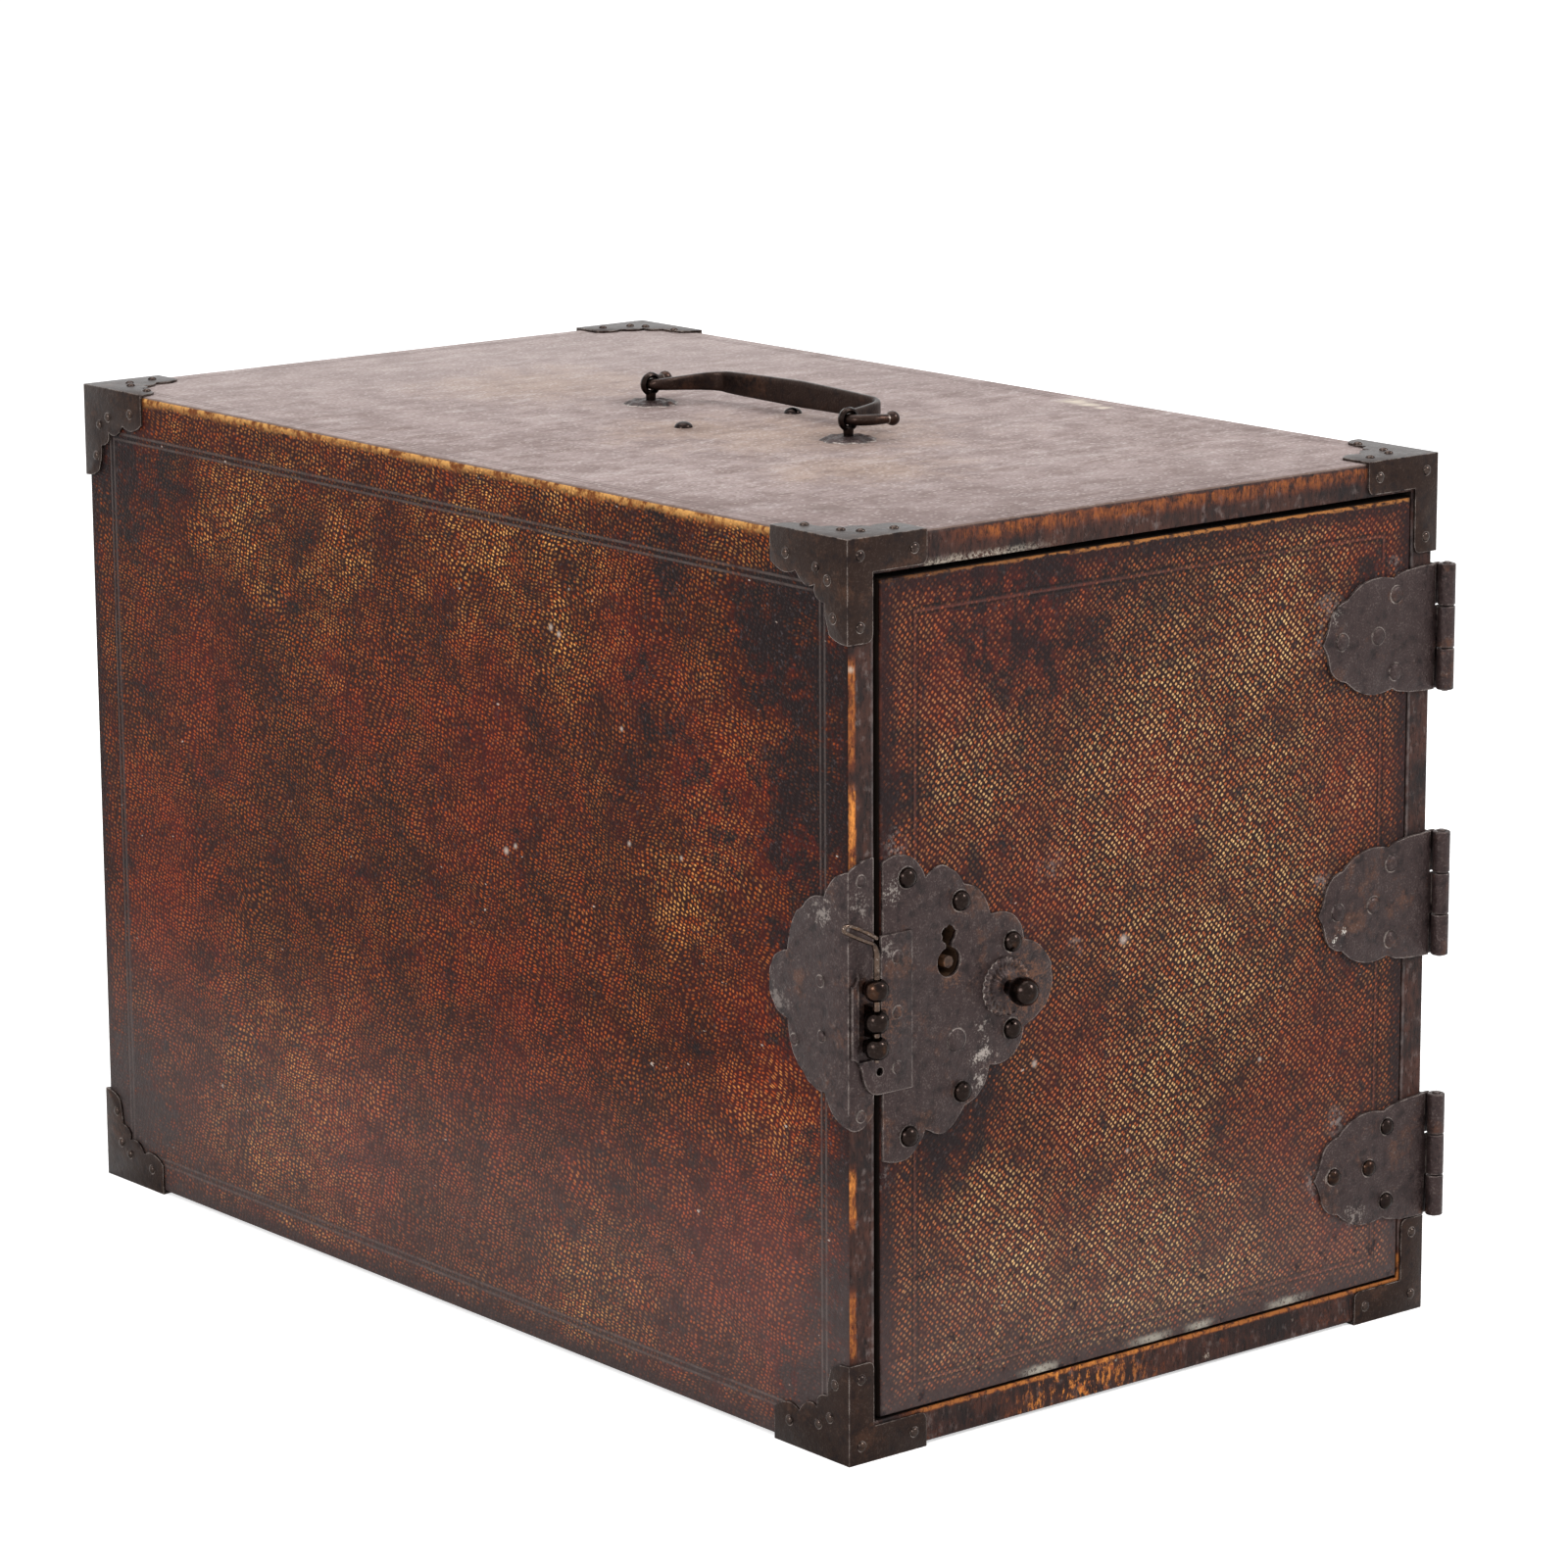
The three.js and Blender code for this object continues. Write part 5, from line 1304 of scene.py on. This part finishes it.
def build_hinge(name, iron_set):
    """A hinge's two leaves and pin. The door's leaf has the middle knuckle, the side's the outer two."""
    side_low, side_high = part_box(f"hinge_{name}_side_leaf")
    centre, half = (side_low.z + side_high.z) / 2, (side_high.z - side_low.z) / 2
    bottom, top = centre - half, centre + half
    axis = Vector((side_high.x - KNUCKLE_RADIUS, DOOR_LOW.y - KNUCKLE_RADIUS, 0))
    third = (half * 2 - KNUCKLE_GAP * 2) / 3
    low_top, high_bottom = bottom + third, top - third
    rise, nail = LEAF_NAILS[name]

    bm = bmesh.new()
    face = DOOR_LOW.y - LEAF_SHEET
    inset = axis.x - KNUCKLE_RADIUS - KNUCKLE_GAP
    start, end = low_top + KNUCKLE_GAP, high_bottom - KNUCKLE_GAP
    tongue = [(inset, bottom), (inset, start), (axis.x, start), (axis.x, end), (inset, end), (inset, top)]
    outline = hand_cut(lobes(1, LEAF_SHARES, LEAF_REACH, half, axis.x, centre, -1), seed=centre * 50)
    add_plate(bm, tongue + [p for p in outline if p[0] < inset], on_front(face), LEAF_SHEET)
    add_knuckle(bm, axis, start, end)
    for a, b in LEAF_NAIL_SHARES:
        place = Vector((axis.x - LEAF_REACH * a, face, centre + half * b))
        add_dome(bm, place, TO_FRONT, (LEAF_NAIL_RADIUS, rise), nail)
    iron_piece(f"hinge_{name}_door_leaf", bm, iron_set, "door", PLATE_ROUND)

    bm = bmesh.new()
    outer = RIGHT + SEAT + LEAF_SHEET
    outline = hand_cut(lobes(1, LEAF_SHARES, LEAF_REACH, half, axis.y, centre, 1), seed=centre * 70)
    leaf = [(FRONT, top), *(p for p in outline if p[0] > FRONT), (FRONT, bottom)]
    add_plate(bm, leaf, on_right(outer), LEAF_SHEET)
    for start, end in ((bottom, low_top), (high_bottom, top)):
        add_knuckle(bm, axis, start, end)
        web_low, web_high = start + SEAT, end - SEAT
        web = [(outer, web_low), (axis.x, web_low), (axis.x, web_high), (outer, web_high)]
        add_plate(bm, web, on_front(FRONT), LEAF_SHEET)
    for a, b in LEAF_NAIL_SHARES:
        place = Vector((outer, axis.y + LEAF_REACH * a, centre + half * b))
        add_dome(bm, place, TO_RIGHT, (LEAF_NAIL_RADIUS, rise), nail)
    iron_piece(f"hinge_{name}_side_leaf", bm, iron_set, "case", PLATE_ROUND)

    bm = bmesh.new()
    reach = half + PIN_HEAD
    add_lathe(bm, rod_profile(0, PIN_RADIUS, -reach, reach, PIN_SOFT), Vector((axis.x, axis.y, centre)), UP)
    iron_piece(f"hinge_{name}_pin", bm, iron_set[1:2])


# Lock plate, key post and knob
LOCK_SHEET = 1.0 * MM
LOCK_REACH = 84 * MM
LOCK_START_SHARE = 0.98
LOCK_SHARES = (
    (0.17, 1.08, 0.25, 0.83),
    (0.36, 0.98, 0.475, 0.735),
    (0.6, 0.7, 0.625, 0.5),
    (0.8, 0.54, 0.83, 0.29),
    (0.99, 0.22, 1, 0),
)
LOCK_NAIL_SHARES = ((0.14, 0.85), (0.45, 0.63), (0.755, 0.29), (0.755, -0.29), (0.46, -0.635), (0.15, -0.85))
LOCK_NAIL = (4.1 * MM, 3.5 * MM)
LOCK_HALF = 58 * MM
KEY_ROUND = 5.6 * MM
KEY_WARD = 3.5 * MM
KEY_WARD_UP = 10.5 * MM
KEY_NECK_SHARE = 0.42
KEY_STEPS = (24, 16)
KNOB_HOLE = 2.3 * MM
HOLE_SLACK = 0.4 * MM
FLAT_RIVET = (4.5 * MM, 0.7 * MM)
FLAT_RIVET_SHARES = (0.43, -0.285)


def keyhole(centre, grow=0.0):
    """A round hole with a rounded, ragged ward above it."""
    neck = KEY_WARD * KEY_NECK_SHARE
    round_radius, ward_radius = KEY_ROUND + grow, KEY_WARD + grow
    points = []
    skipped = math.asin(neck / round_radius)
    for i in range(KEY_STEPS[0] + 1):
        angle = math.pi / 2 + skipped + (math.tau - 2 * skipped) * i / KEY_STEPS[0]
        height = centre[1] + round_radius * math.sin(angle)
        points.append((centre[0] + round_radius * math.cos(angle), height))
    skipped = math.asin(neck / ward_radius)
    for i in range(KEY_STEPS[1] + 1):
        angle = -math.pi / 2 + skipped + (math.tau - 2 * skipped) * i / KEY_STEPS[1]
        ragged = ward_radius * (1 + 0.08 * math.sin(5 * angle + 1) + 0.05 * math.sin(9 * angle))
        height = centre[1] + KEY_WARD_UP + ragged * math.sin(angle)
        points.append((centre[0] + ragged * math.cos(angle), height))
    return points


def lock_holes(grow=0.0):
    """The keyhole and the hole for the knob's shank, through plate and door."""
    key, knob = middle_of("key_post"), middle_of("pull_knob")
    return keyhole((key.x, key.z), grow), circle((knob.x, knob.z), KNOB_HOLE + grow)


def build_lock_plate(iron_set):
    centre = middle_of("lock_plate").z
    face = DOOR_LOW.y - LOCK_SHEET
    bm = bmesh.new()
    outline = lobes(LOCK_START_SHARE, LOCK_SHARES, LOCK_REACH, LOCK_HALF, DOOR_LOW.x, centre, 1)
    add_plate(bm, hand_cut(outline, HAND_CUT * 2), on_front(face), LOCK_SHEET - SEAT, lock_holes())
    nails = [(shares, LOCK_NAIL, 2) for shares in LOCK_NAIL_SHARES]
    for (a, b), size, material in (*nails, (FLAT_RIVET_SHARES, FLAT_RIVET, 0)):
        place = Vector((DOOR_LOW.x + LOCK_REACH * a, face, centre + LOCK_HALF * b))
        add_dome(bm, place, TO_FRONT, size, material)
    iron_piece("lock_plate", bm, iron_set, "door", PLATE_ROUND)


# Profiles: (radius, distance) in millimetres
KNOB_PROFILE = (
    (3.0, 0.0), (3.0, 1.2), (2.7, 3.2), (3.4, 4.6), (4.9, 6.2), (5.55, 8.4), (5.5, 10.6), (4.8, 12.8),
    (3.4, 14.4), (1.6, 15.4), (0.0, 15.7),
)
KNOB_BURR = (4.0 * MM, 1.2 * MM)
KNOB_SHANK = 2.0 * MM
ROSETTE_PROFILE = (
    (2.4, 2.6), (4.6, 2.6), (5.6, 2.2), (6.6, 1.1), (8.4, 1.2), (9.6, 1.9), (10.6, 1.8), (11.5, 0.9),
    (11.7, 0.0),
)
ROSETTE_SIDES = 160
ROSETTE_FLUTES = 26
ROSETTE_WAVES = (0.025, 0.45 * MM)


def build_knob(knob_iron, rosette_iron):
    """The pull knob, whose shank goes through the door to a burr behind it, and its rosette."""
    centre = middle_of("pull_knob")
    base = low("pull_knob").y + KNOB_PROFILE[-1][1] * MM
    shank = high("pull_knob").y - base
    burr, burr_thick = KNOB_BURR
    tail = [(0.0, -shank), (burr, -shank), (burr, burr_thick - shank), (KNOB_SHANK, burr_thick - shank)]
    tail.append((KNOB_SHANK, 0.0))
    bm = bmesh.new()
    add_lathe(bm, tail + in_mm(KNOB_PROFILE), Vector((centre.x, base, centre.z)), TO_FRONT)
    iron_piece("pull_knob", bm, [knob_iron], "door")
    bm = bmesh.new()
    back = Vector((centre.x, high("knob_rosette").y, centre.z))
    add_rosette(bm, ROSETTE_PROFILE, back, TO_FRONT, ROSETTE_SIDES, ROSETTE_FLUTES, ROSETTE_WAVES)
    iron_piece("knob_rosette", bm, [rosette_iron], "door", sharp=60)


# Strike plate and the eyes that the pin goes through
STRIKE_SHEET = 1.0 * MM
STRIKE_REACH = 46 * MM
STRIKE_HALF = 48.5 * MM
STRIKE_OVER = 4 * MM
STRIKE_SHARES = (
    (0.2, 0.98, 0.3, 0.763),
    (0.47, 0.78, 0.565, 0.65),
    (0.74, 0.55, 0.76, 0.27),
    (0.98, 0.25, 1, 0),
)
STRIKE_NAIL_SHARES = ((0.35, 0.1), (0.335, -0.33), (0.68, -0.42))
STRIKE_NAIL = (2.2 * MM, 1.2 * MM)
EYE_RADIUS = 4.7 * MM
EYE_HALF = 4.0 * MM
EYE_BORE = 1.65 * MM
EYE_BORE_SHARE = 0.86
EYE_TURN = math.radians(70)
EYE_STEPS = 14
STAPLE_BAR = (2.4 * MM, 2.6 * MM)
STAPLE_BAR_IN = 2.2 * MM


def eye_axis():
    """The line of the pin, at height zero."""
    return Vector((middle_of("staple_lower").x, low("staple_lower").y + EYE_RADIUS, 0))


def add_eye(bm, centre):
    """A round bead with a bore."""
    mouth = EYE_HALF * EYE_BORE_SHARE
    profile = [(EYE_BORE, -mouth)]
    for i in range(EYE_STEPS + 1):
        angle = -EYE_TURN + 2 * EYE_TURN * i / EYE_STEPS
        profile.append((EYE_RADIUS * math.cos(angle) ** 0.7, EYE_HALF * math.sin(angle) / math.sin(EYE_TURN)))
    profile += [(EYE_BORE, mouth), profile[0]]
    add_lathe(bm, profile, centre, UP)


def build_strike(iron_set):
    """The strike plate, folded round the case's front left edge."""
    outer, face, centre = CORNER.x, CORNER.y, middle_of("strike_plate").z
    corner = Vector((outer, face, 0))
    stile = MOUTH_LOW.x - CAP_LIP - outer
    bottom, top = centre - STRIKE_HALF, centre + STRIKE_HALF

    def side(a, b, t):
        return corner + Vector((t, a, b))

    def front(a, b, t):
        return corner + Vector((a, t, b))

    lobed = hand_cut(lobes(1, STRIKE_SHARES, STRIKE_REACH, STRIKE_HALF, 0.0, centre, 1), HAND_CUT * 2)
    strip = [(0.0, bottom)]
    strip += bend(strip[-1], (stile / 2, bottom - STRIKE_OVER), (stile, bottom + STRIKE_OVER))
    strip.append((stile, top + STRIKE_OVER))
    strip += bend(strip[-1], (stile / 2, top + STRIKE_OVER), (0.0, top))
    bm = bmesh.new()
    add_folded_legs(bm, ((lobed, side), (strip, front)), STRIKE_SHEET - SEAT)
    for a, b in STRIKE_NAIL_SHARES:
        place = Vector((outer, face + STRIKE_REACH * a, centre + STRIKE_HALF * b))
        add_dome(bm, place, TO_LEFT, STRIKE_NAIL)
    for z in (bottom + STRIKE_OVER, top - STRIKE_OVER):
        add_dome(bm, Vector((outer + stile / 2, face, z)), TO_FRONT, STRIKE_NAIL)
    iron_piece("strike_plate", bm, iron_set, "case", PLATE_ROUND)


def build_staples(material):
    axis = eye_axis()
    for name in ("staple_upper", "staple_lower"):
        centre = Vector((axis.x, axis.y, middle_of(name).z))
        bm = bmesh.new()
        add_eye(bm, centre)
        start = centre + Vector((0, STAPLE_BAR_IN, 0))
        add_bar(bm, start, Vector((axis.x, high(name).y, centre.z)), STAPLE_BAR)
        iron_piece(name, bm, [material])


# Hasp
HASP_SHEET = 1.2 * MM
HASP_RIVET = (2.4 * MM, 1.0 * MM)
HASP_RIVET_SHARES = (0.15, 0.5, 0.85)
HASP_SLOT = 5.3 * MM
HASP_HOLE = 1.6 * MM
HASP_EYE_DROP = 1.0 * MM
HASP_ARM = (1.6 * MM, 3.0 * MM)
HASP_ARM_START = (3.4 * MM, 1.0 * MM)
HASP_ARM_END = (0.9 * MM, 0.4 * MM)
EYE_CUT = Vector((3.3, 10, 12)) * MM


def build_hasp(iron_set, eye_iron):
    """The hasp plate, with a slot round the eyes, and its own eye, whose back is open."""
    hasp_low, hasp_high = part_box("hasp_plate")
    axis = eye_axis()
    eye = EYE_RADIUS
    face = DOOR_LOW.y - LOCK_SHEET - HASP_SHEET
    tip, right, bottom, top = hasp_low.x, hasp_high.x, hasp_low.z, hasp_high.z
    eyes_bottom, eyes_top = low("staple_lower").z, high("staple_upper").z
    slot_bottom = low("lock_pin").z - KNUCKLE_GAP
    left, far = axis.x - HASP_SLOT, axis.x + HASP_SLOT
    tip_top = eyes_top - eye / 2
    points = [(right, bottom), (axis.x + eye, bottom)]
    points += bend(points[-1], (axis.x - eye / 2, bottom), (tip + eye, eyes_bottom - eye))
    points += bend(points[-1], (tip + eye / 2, eyes_bottom), (tip, eyes_bottom))
    points.append((tip, tip_top))
    points += bend(points[-1], (tip + eye / 2, tip_top), (left, tip_top + eye))
    points += [(left, slot_bottom), (far, slot_bottom), (far, top), (right, top)]
    bm = bmesh.new()
    hole = circle((axis.x + eye, (bottom + eyes_bottom) / 2 + eye / 4), HASP_HOLE)
    add_plate(bm, points, on_front(face), HASP_SHEET - SEAT, (hole,))
    rivet_x = (far + right) / 2 + KNUCKLE_GAP
    for share in HASP_RIVET_SHARES:
        add_dome(bm, Vector((rivet_x, face, bottom + (top - bottom) * share)), TO_FRONT, HASP_RIVET)
    iron_piece("hasp_plate", bm, iron_set, "door", PLATE_ROUND)

    z = (high("staple_lower").z + low("staple_upper").z) / 2 - HASP_EYE_DROP
    centre = Vector((axis.x, axis.y, z))
    bm = bmesh.new()
    add_eye(bm, centre)
    start = Vector((axis.x + HASP_ARM_START[0], axis.y + HASP_ARM_START[1], z))
    end = Vector((far + HASP_ARM_END[0], face + HASP_ARM_END[1], z))
    add_bar(bm, start, end, HASP_ARM)
    open_back(new_piece("hasp_eye", bm, [eye_iron], "door"), centre)


def open_back(obj, centre):
    """Cuts the back of an eye away, from its bore to the plate."""
    bm = bmesh.new()
    back = Vector((EYE_CUT.x / 2, EYE_CUT.y, EYE_CUT.z / 2))
    add_board(bm, centre - Vector((back.x, 0, back.z)), centre + back)
    cutter = link_new("cutter", as_mesh("cutter", bm))
    modifier = obj.modifiers.new("open_back", "BOOLEAN")
    modifier.operation = "DIFFERENCE"
    modifier.object = cutter
    apply_modifiers(obj)
    bpy.data.objects.remove(cutter)


# Lock pin
PIN_WIRE = 1.2 * MM
PIN_FOOT_SHARE = 0.75
LOOP_WIRE = 0.85 * MM
LOOP_RISE = 7.6 * MM
LOOP_STEPS = 6
STEM_STEPS = 12
LOOP_SHARES = (
    (0.0, 0.12), (0.22, 0.4), (0.52, 0.72), (0.85, 1.0), (1.0, 0.95), (0.98, 0.74), (0.68, 0.42), (0.36, 0.1),
    (0.1, -0.16), (0.0, -0.6),
)


def build_pin(material):
    """The pin's wire, which thins where it turns from the stem into the loop."""
    pin_low, pin_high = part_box("lock_pin")
    axis = eye_axis()
    long = axis.x - pin_low.x - LOOP_WIRE * 1.5
    start = pin_high.z - PIN_WIRE - LOOP_RISE
    points = [Vector((axis.x - long * a, axis.y, start + LOOP_RISE * b)) for a, b in LOOP_SHARES]
    loop = smooth_path(points[::-1], LOOP_STEPS)
    stem = straight(Vector((axis.x, axis.y, pin_low.z)), points[-1], STEM_STEPS)
    widths = [PIN_WIRE * PIN_FOOT_SHARE] + [PIN_WIRE] * STEM_STEPS
    thinned = (PIN_WIRE - (PIN_WIRE - LOOP_WIRE) * i / LOOP_STEPS for i in range(1, len(loop)))
    widths += [max(LOOP_WIRE, width) for width in thinned]
    bm = bmesh.new()
    add_wire(bm, stem + loop[1:], [(width, width) for width in widths], up=-TO_FRONT)
    iron_piece("lock_pin", bm, [material], "pin", sharp=60)


# Handle on top
POST_RING = ((2.7, -0.9), (3.7, -1.5), (4.6, -1.1), (5.0, 0.0), (4.6, 1.1), (3.7, 1.5), (2.7, 0.9))
POST_RING_RADIUS = 5.0 * MM
POST_NECK = 3.6 * MM
POST_SHANK = 1.9 * MM
POST_SHANK_SPREAD_SHARE = 1.15
POST_BURR = (4.0 * MM, 1.2 * MM)
POST_ROSETTE = (
    (2.4, 1.9), (4.0, 2.0), (5.4, 1.5), (6.6, 1.0), (8.0, 1.7), (9.4, 1.6), (10.8, 0.7), (12.0, 0.0),
)
POST_ROSETTE_SIDES = 90
PETALS = 9
PETAL_WAVES = (0.06, 0.3 * MM)
STUD = (3.8 * MM, 2.4 * MM)


def build_posts(post_iron, rosette_iron):
    """The two ring posts with their rosettes, and the two studs that the bail rests on."""
    for name in ("front", "back"):
        centre, foot = middle_of(f"handle_post_{name}"), low(f"handle_post_{name}").z
        ring_z = high(f"handle_post_{name}").z - POST_RING_RADIUS
        burr, burr_thick = POST_BURR
        neck = ring_z - POST_NECK - foot
        shank = [(0.0, 0.0), (burr, 0.0), (burr, burr_thick), (POST_SHANK, burr_thick)]
        shank += [(POST_SHANK, TOP - foot), (POST_SHANK * POST_SHANK_SPREAD_SHARE, neck), (0.0, neck)]
        bm = bmesh.new()
        add_lathe(bm, in_mm(POST_RING + POST_RING[:1]), Vector((centre.x, centre.y, ring_z)), TO_FRONT)
        add_lathe(bm, shank, Vector((centre.x, centre.y, foot)), UP)
        iron_piece(f"handle_post_{name}", bm, [post_iron])
        bm = bmesh.new()
        base = Vector((centre.x, centre.y, low(f"handle_rosette_{name}").z))
        add_rosette(bm, POST_ROSETTE, base, UP, POST_ROSETTE_SIDES, PETALS, PETAL_WAVES)
        iron_piece(f"handle_rosette_{name}", bm, [rosette_iron])
    for name in ("stop_stud_left", "stop_stud_right"):
        centre = middle_of(name)
        bm = bmesh.new()
        add_dome(bm, Vector((centre.x, centre.y, TOP)), UP, STUD)
        iron_piece(name, bm, [post_iron])


# The bail from its tip to near its middle, and then its middle, in millimetres:
# (reach from the hinge line, distance past the post, half width, half height, squareness)
BAIL_RUN = (
    (15, 9.5, 1.76, 1.76, 2), (7.5, 8.17, 2.2, 2.2, 2), (1.8, 5.225, 2.2, 2.2, 2), (0, 2, 2.2, 2.2, 2),
    (0, -2, 2.2, 2.2, 2), (2.6, -4.4, 1.76, 2.4, 3), (12, -6.6, 1.485, 3, 4), (22, -9.5, 1.35, 3.705, 5),
    (26.5, -14, 1.35, 4.095, 5), (27.4, -23, 1.35, 4.7175, 5),
)
BAIL_MIDDLE = (28.6, 0, 1.35, 5.55, 5)
BAIL_KNOB = 3.0 * MM
BAIL_KNOB_RINGS = 8
BAIL_STEPS = 6
BAIL_SIDES = 24


def bail_row(row, start):
    """A row of the bail's table as lengths, with its distance counted from a start."""
    reach, out, wide, tall, square = row
    return (reach * MM, start + out * MM, wide * MM, tall * MM, square)


def build_bail(material):
    """The bail: a rod through both posts that flattens into the grip, with a knob at either end."""
    front, back = middle_of("handle_post_front"), middle_of("handle_post_back")
    pivot = Vector((front.x, (front.y + back.y) / 2, middle_of("bail_handle").z))
    half = (back.y - front.y) / 2
    run = [bail_row(row, half) for row in BAIL_RUN]
    run = [*run, bail_row(BAIL_MIDDLE, 0), *((a, -b, *rest) for a, b, *rest in run[::-1])]
    path = smooth_path([pivot + Vector((a, b, 0)) for a, b, *_ in run], BAIL_STEPS)
    radii, squares = [], []
    for i in range(len(path)):
        k = min(i // BAIL_STEPS, len(run) - 2)
        t = (i - k * BAIL_STEPS) / BAIL_STEPS
        wide, tall, square = (one + (two - one) * t for one, two in zip(run[k][2:], run[k + 1][2:]))
        radii.append((wide, tall))
        squares.append(square)
    bm = bmesh.new()
    add_wire(bm, path, radii, BAIL_SIDES, UP, squares)
    turns = [math.pi * i / BAIL_KNOB_RINGS for i in range(1, BAIL_KNOB_RINGS)]
    ball = [(BAIL_KNOB * math.sin(turn), -BAIL_KNOB * math.cos(turn)) for turn in turns]
    for end, way in ((path[0], path[0] - path[2]), (path[-1], path[-1] - path[-3])):
        add_lathe(bm, [(0.0, -BAIL_KNOB), *ball, (0.0, BAIL_KNOB)], end, way, BAIL_SIDES)
    iron_piece("bail_handle", bm, [material], "bail", sharp=50)


# Drawers
DRAWER_WALL = 7 * MM
DRAWER_FRONT = 12 * MM
DRAWER_BOTTOM = 5 * MM
PULL_BORE = 2.2 * MM
BOARD_ROUND = 0.7 * MM


def add_board(bm, low_corner, high_corner):
    """A board between two corners."""
    made = bmesh.ops.create_cube(bm, size=1.0)["verts"]
    middle, size = (low_corner + high_corner) / 2, high_corner - low_corner
    for vert in made:
        vert.co = middle + vert.co * size


def build_drawer(level, across, along):
    """A drawer of five boards: the front laps the sides, and the back stands between them."""
    box = f"drawer_{level}_box"
    start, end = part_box(box)
    pull = middle_of(f"drawer_{level}_pull")
    corners = [(start.x, start.z), (end.x, start.z), (end.x, end.z), (start.x, end.z)]
    bm = bmesh.new()
    add_plate(bm, corners, on_front(start.y), DRAWER_FRONT, (circle((pull.x, pull.z), PULL_BORE),))
    back = Vector((start.x + DRAWER_WALL, end.y - DRAWER_WALL, start.z + DRAWER_BOTTOM))
    add_board(bm, back, Vector((end.x - DRAWER_WALL, end.y, end.z)))
    new_piece(f"{box}_front_back", bm, [across], f"drawer_{level}", (box,), BOARD_ROUND)
    bm = bmesh.new()
    behind = start.y + DRAWER_FRONT
    for left, right in ((start.x, start.x + DRAWER_WALL), (end.x - DRAWER_WALL, end.x)):
        add_board(bm, Vector((left, behind, start.z)), Vector((right, end.y, end.z)))
    floor_low = Vector((start.x + DRAWER_WALL + SEAT, behind + SEAT, start.z))
    add_board(bm, floor_low, Vector((end.x - DRAWER_WALL - SEAT, end.y, start.z + DRAWER_BOTTOM - SEAT)))
    new_piece(f"{box}_sides", bm, [along], f"drawer_{level}", rounding=BOARD_ROUND)


# What keeps its shape from the frame takes a better material
def dress(node, material):
    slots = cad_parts[node].data.materials
    slots.clear()
    slots.append(material)


def build_inside(iron_material, rusty):
    board = timber("board_wood", tone(120, 88, 58), tone(78, 54, 36), "y", MOUTH_SHADE)
    door = timber("door_wood", tone(92, 68, 50), tone(60, 43, 33), "z", seams=DOOR_SEAMS, rim="door_panel")
    across = timber("drawer_wood_across", tone(158, 116, 76), tone(106, 72, 44), "x")
    along = timber("drawer_wood_along", tone(152, 112, 74), tone(104, 72, 45), "y")
    for side in ("left", "right", "top", "bottom", "back"):
        dress(f"case_{side}_board", board)
    dress("door_panel", door)
    for node in ("inner_side_left", "inner_side_right", "shelf_lower", "shelf_upper"):
        dress(node, along)
    for level in ("lower", "middle", "upper"):
        build_drawer(level, across, along)
        dress(f"drawer_{level}_pull", iron_material)
    for node in ("lock_case", "lock_bolt", "lock_spring", "bolt_keeper"):
        dress(node, iron_material)
    dress("key_post", rusty)


# Kinds of iron: the tones of its skin, its rust and its scuffs, and what else sets it apart
BROWN = tone(86, 59, 48)
SCUFFED = tone(136, 122, 116)
SMOOTH = {"pits": 0.02 * MM, "metal": 1.0, "shine": 0.5}
WORN_PLATE = {"rough": 0.36, "pits": 0.34 * MM, "edges": 0.9 * MM, "marks": PLATE_MARKS}
WIRE = {"rough": 0.22, "pits": 0.03 * MM, "metal": 1.0}
DARK = {"rough": 0.3, "pits": 0.12 * MM, "dusty": 0.25, "metal": 0.8, "edges": 0.7 * MM}
IRONS = {
    "plate": (tone(60, 47, 46), BROWN, SCUFFED, WORN_PLATE),
    # edge: a lighter iron on rounded edges and hinge pins, partly worn bright and partly a painted highlight
    "edge": (tone(84, 72, 69), BROWN, tone(176, 166, 160), {"rusty": 0.4, "rough": 0.36, "dusty": 0.7}),
    "nail": (tone(42, 34, 31), tone(66, 46, 35), SCUFFED, SMOOTH | {"rough": 0.2, "dusty": 0.15}),
    "rusty": (tone(84, 66, 56), tone(124, 84, 56), SCUFFED, {"rusty": 0.8, "rough": 0.55}),
    "wire": (tone(92, 76, 66), tone(112, 84, 62), tone(220, 208, 198), WIRE),
    "dark": (tone(50, 37, 32), tone(70, 49, 39), tone(122, 104, 94), DARK),
    "stud": (
        tone(72, 61, 56), tone(84, 63, 51), tone(190, 178, 168),
        SMOOTH | {"rusty": 0.4, "rough": 0.16, "dusty": 0.12},
    ),
}


def build_all():
    build_camera()
    build_world()
    build_floor()
    build_lamps()

    build_case_leather([side_leather(), top_leather(), rim_leather(), back_leather()])
    build_door_leather(door_leather())

    irons = {name: iron(f"iron_{name}", *tones, **looks) for name, (*tones, looks) in IRONS.items()}
    plate, edge, nail, rusty, wire, dark, stud = irons.values()
    iron_set = [plate, edge, nail]
    build_caps([dark, edge, stud])
    for name in ("lower", "middle", "upper"):
        build_hinge(name, iron_set)
    build_lock_plate(iron_set)
    build_knob(nail, plate)
    build_strike(iron_set)
    build_staples(nail)
    build_hasp(iron_set, nail)
    build_pin(wire)
    build_posts(nail, plate)
    build_bail(dark)
    build_inside(plate, rusty)


build_all()

scene = bpy.context.scene
scene.view_settings.view_transform = "Standard"
bpy.context.view_layer.update()
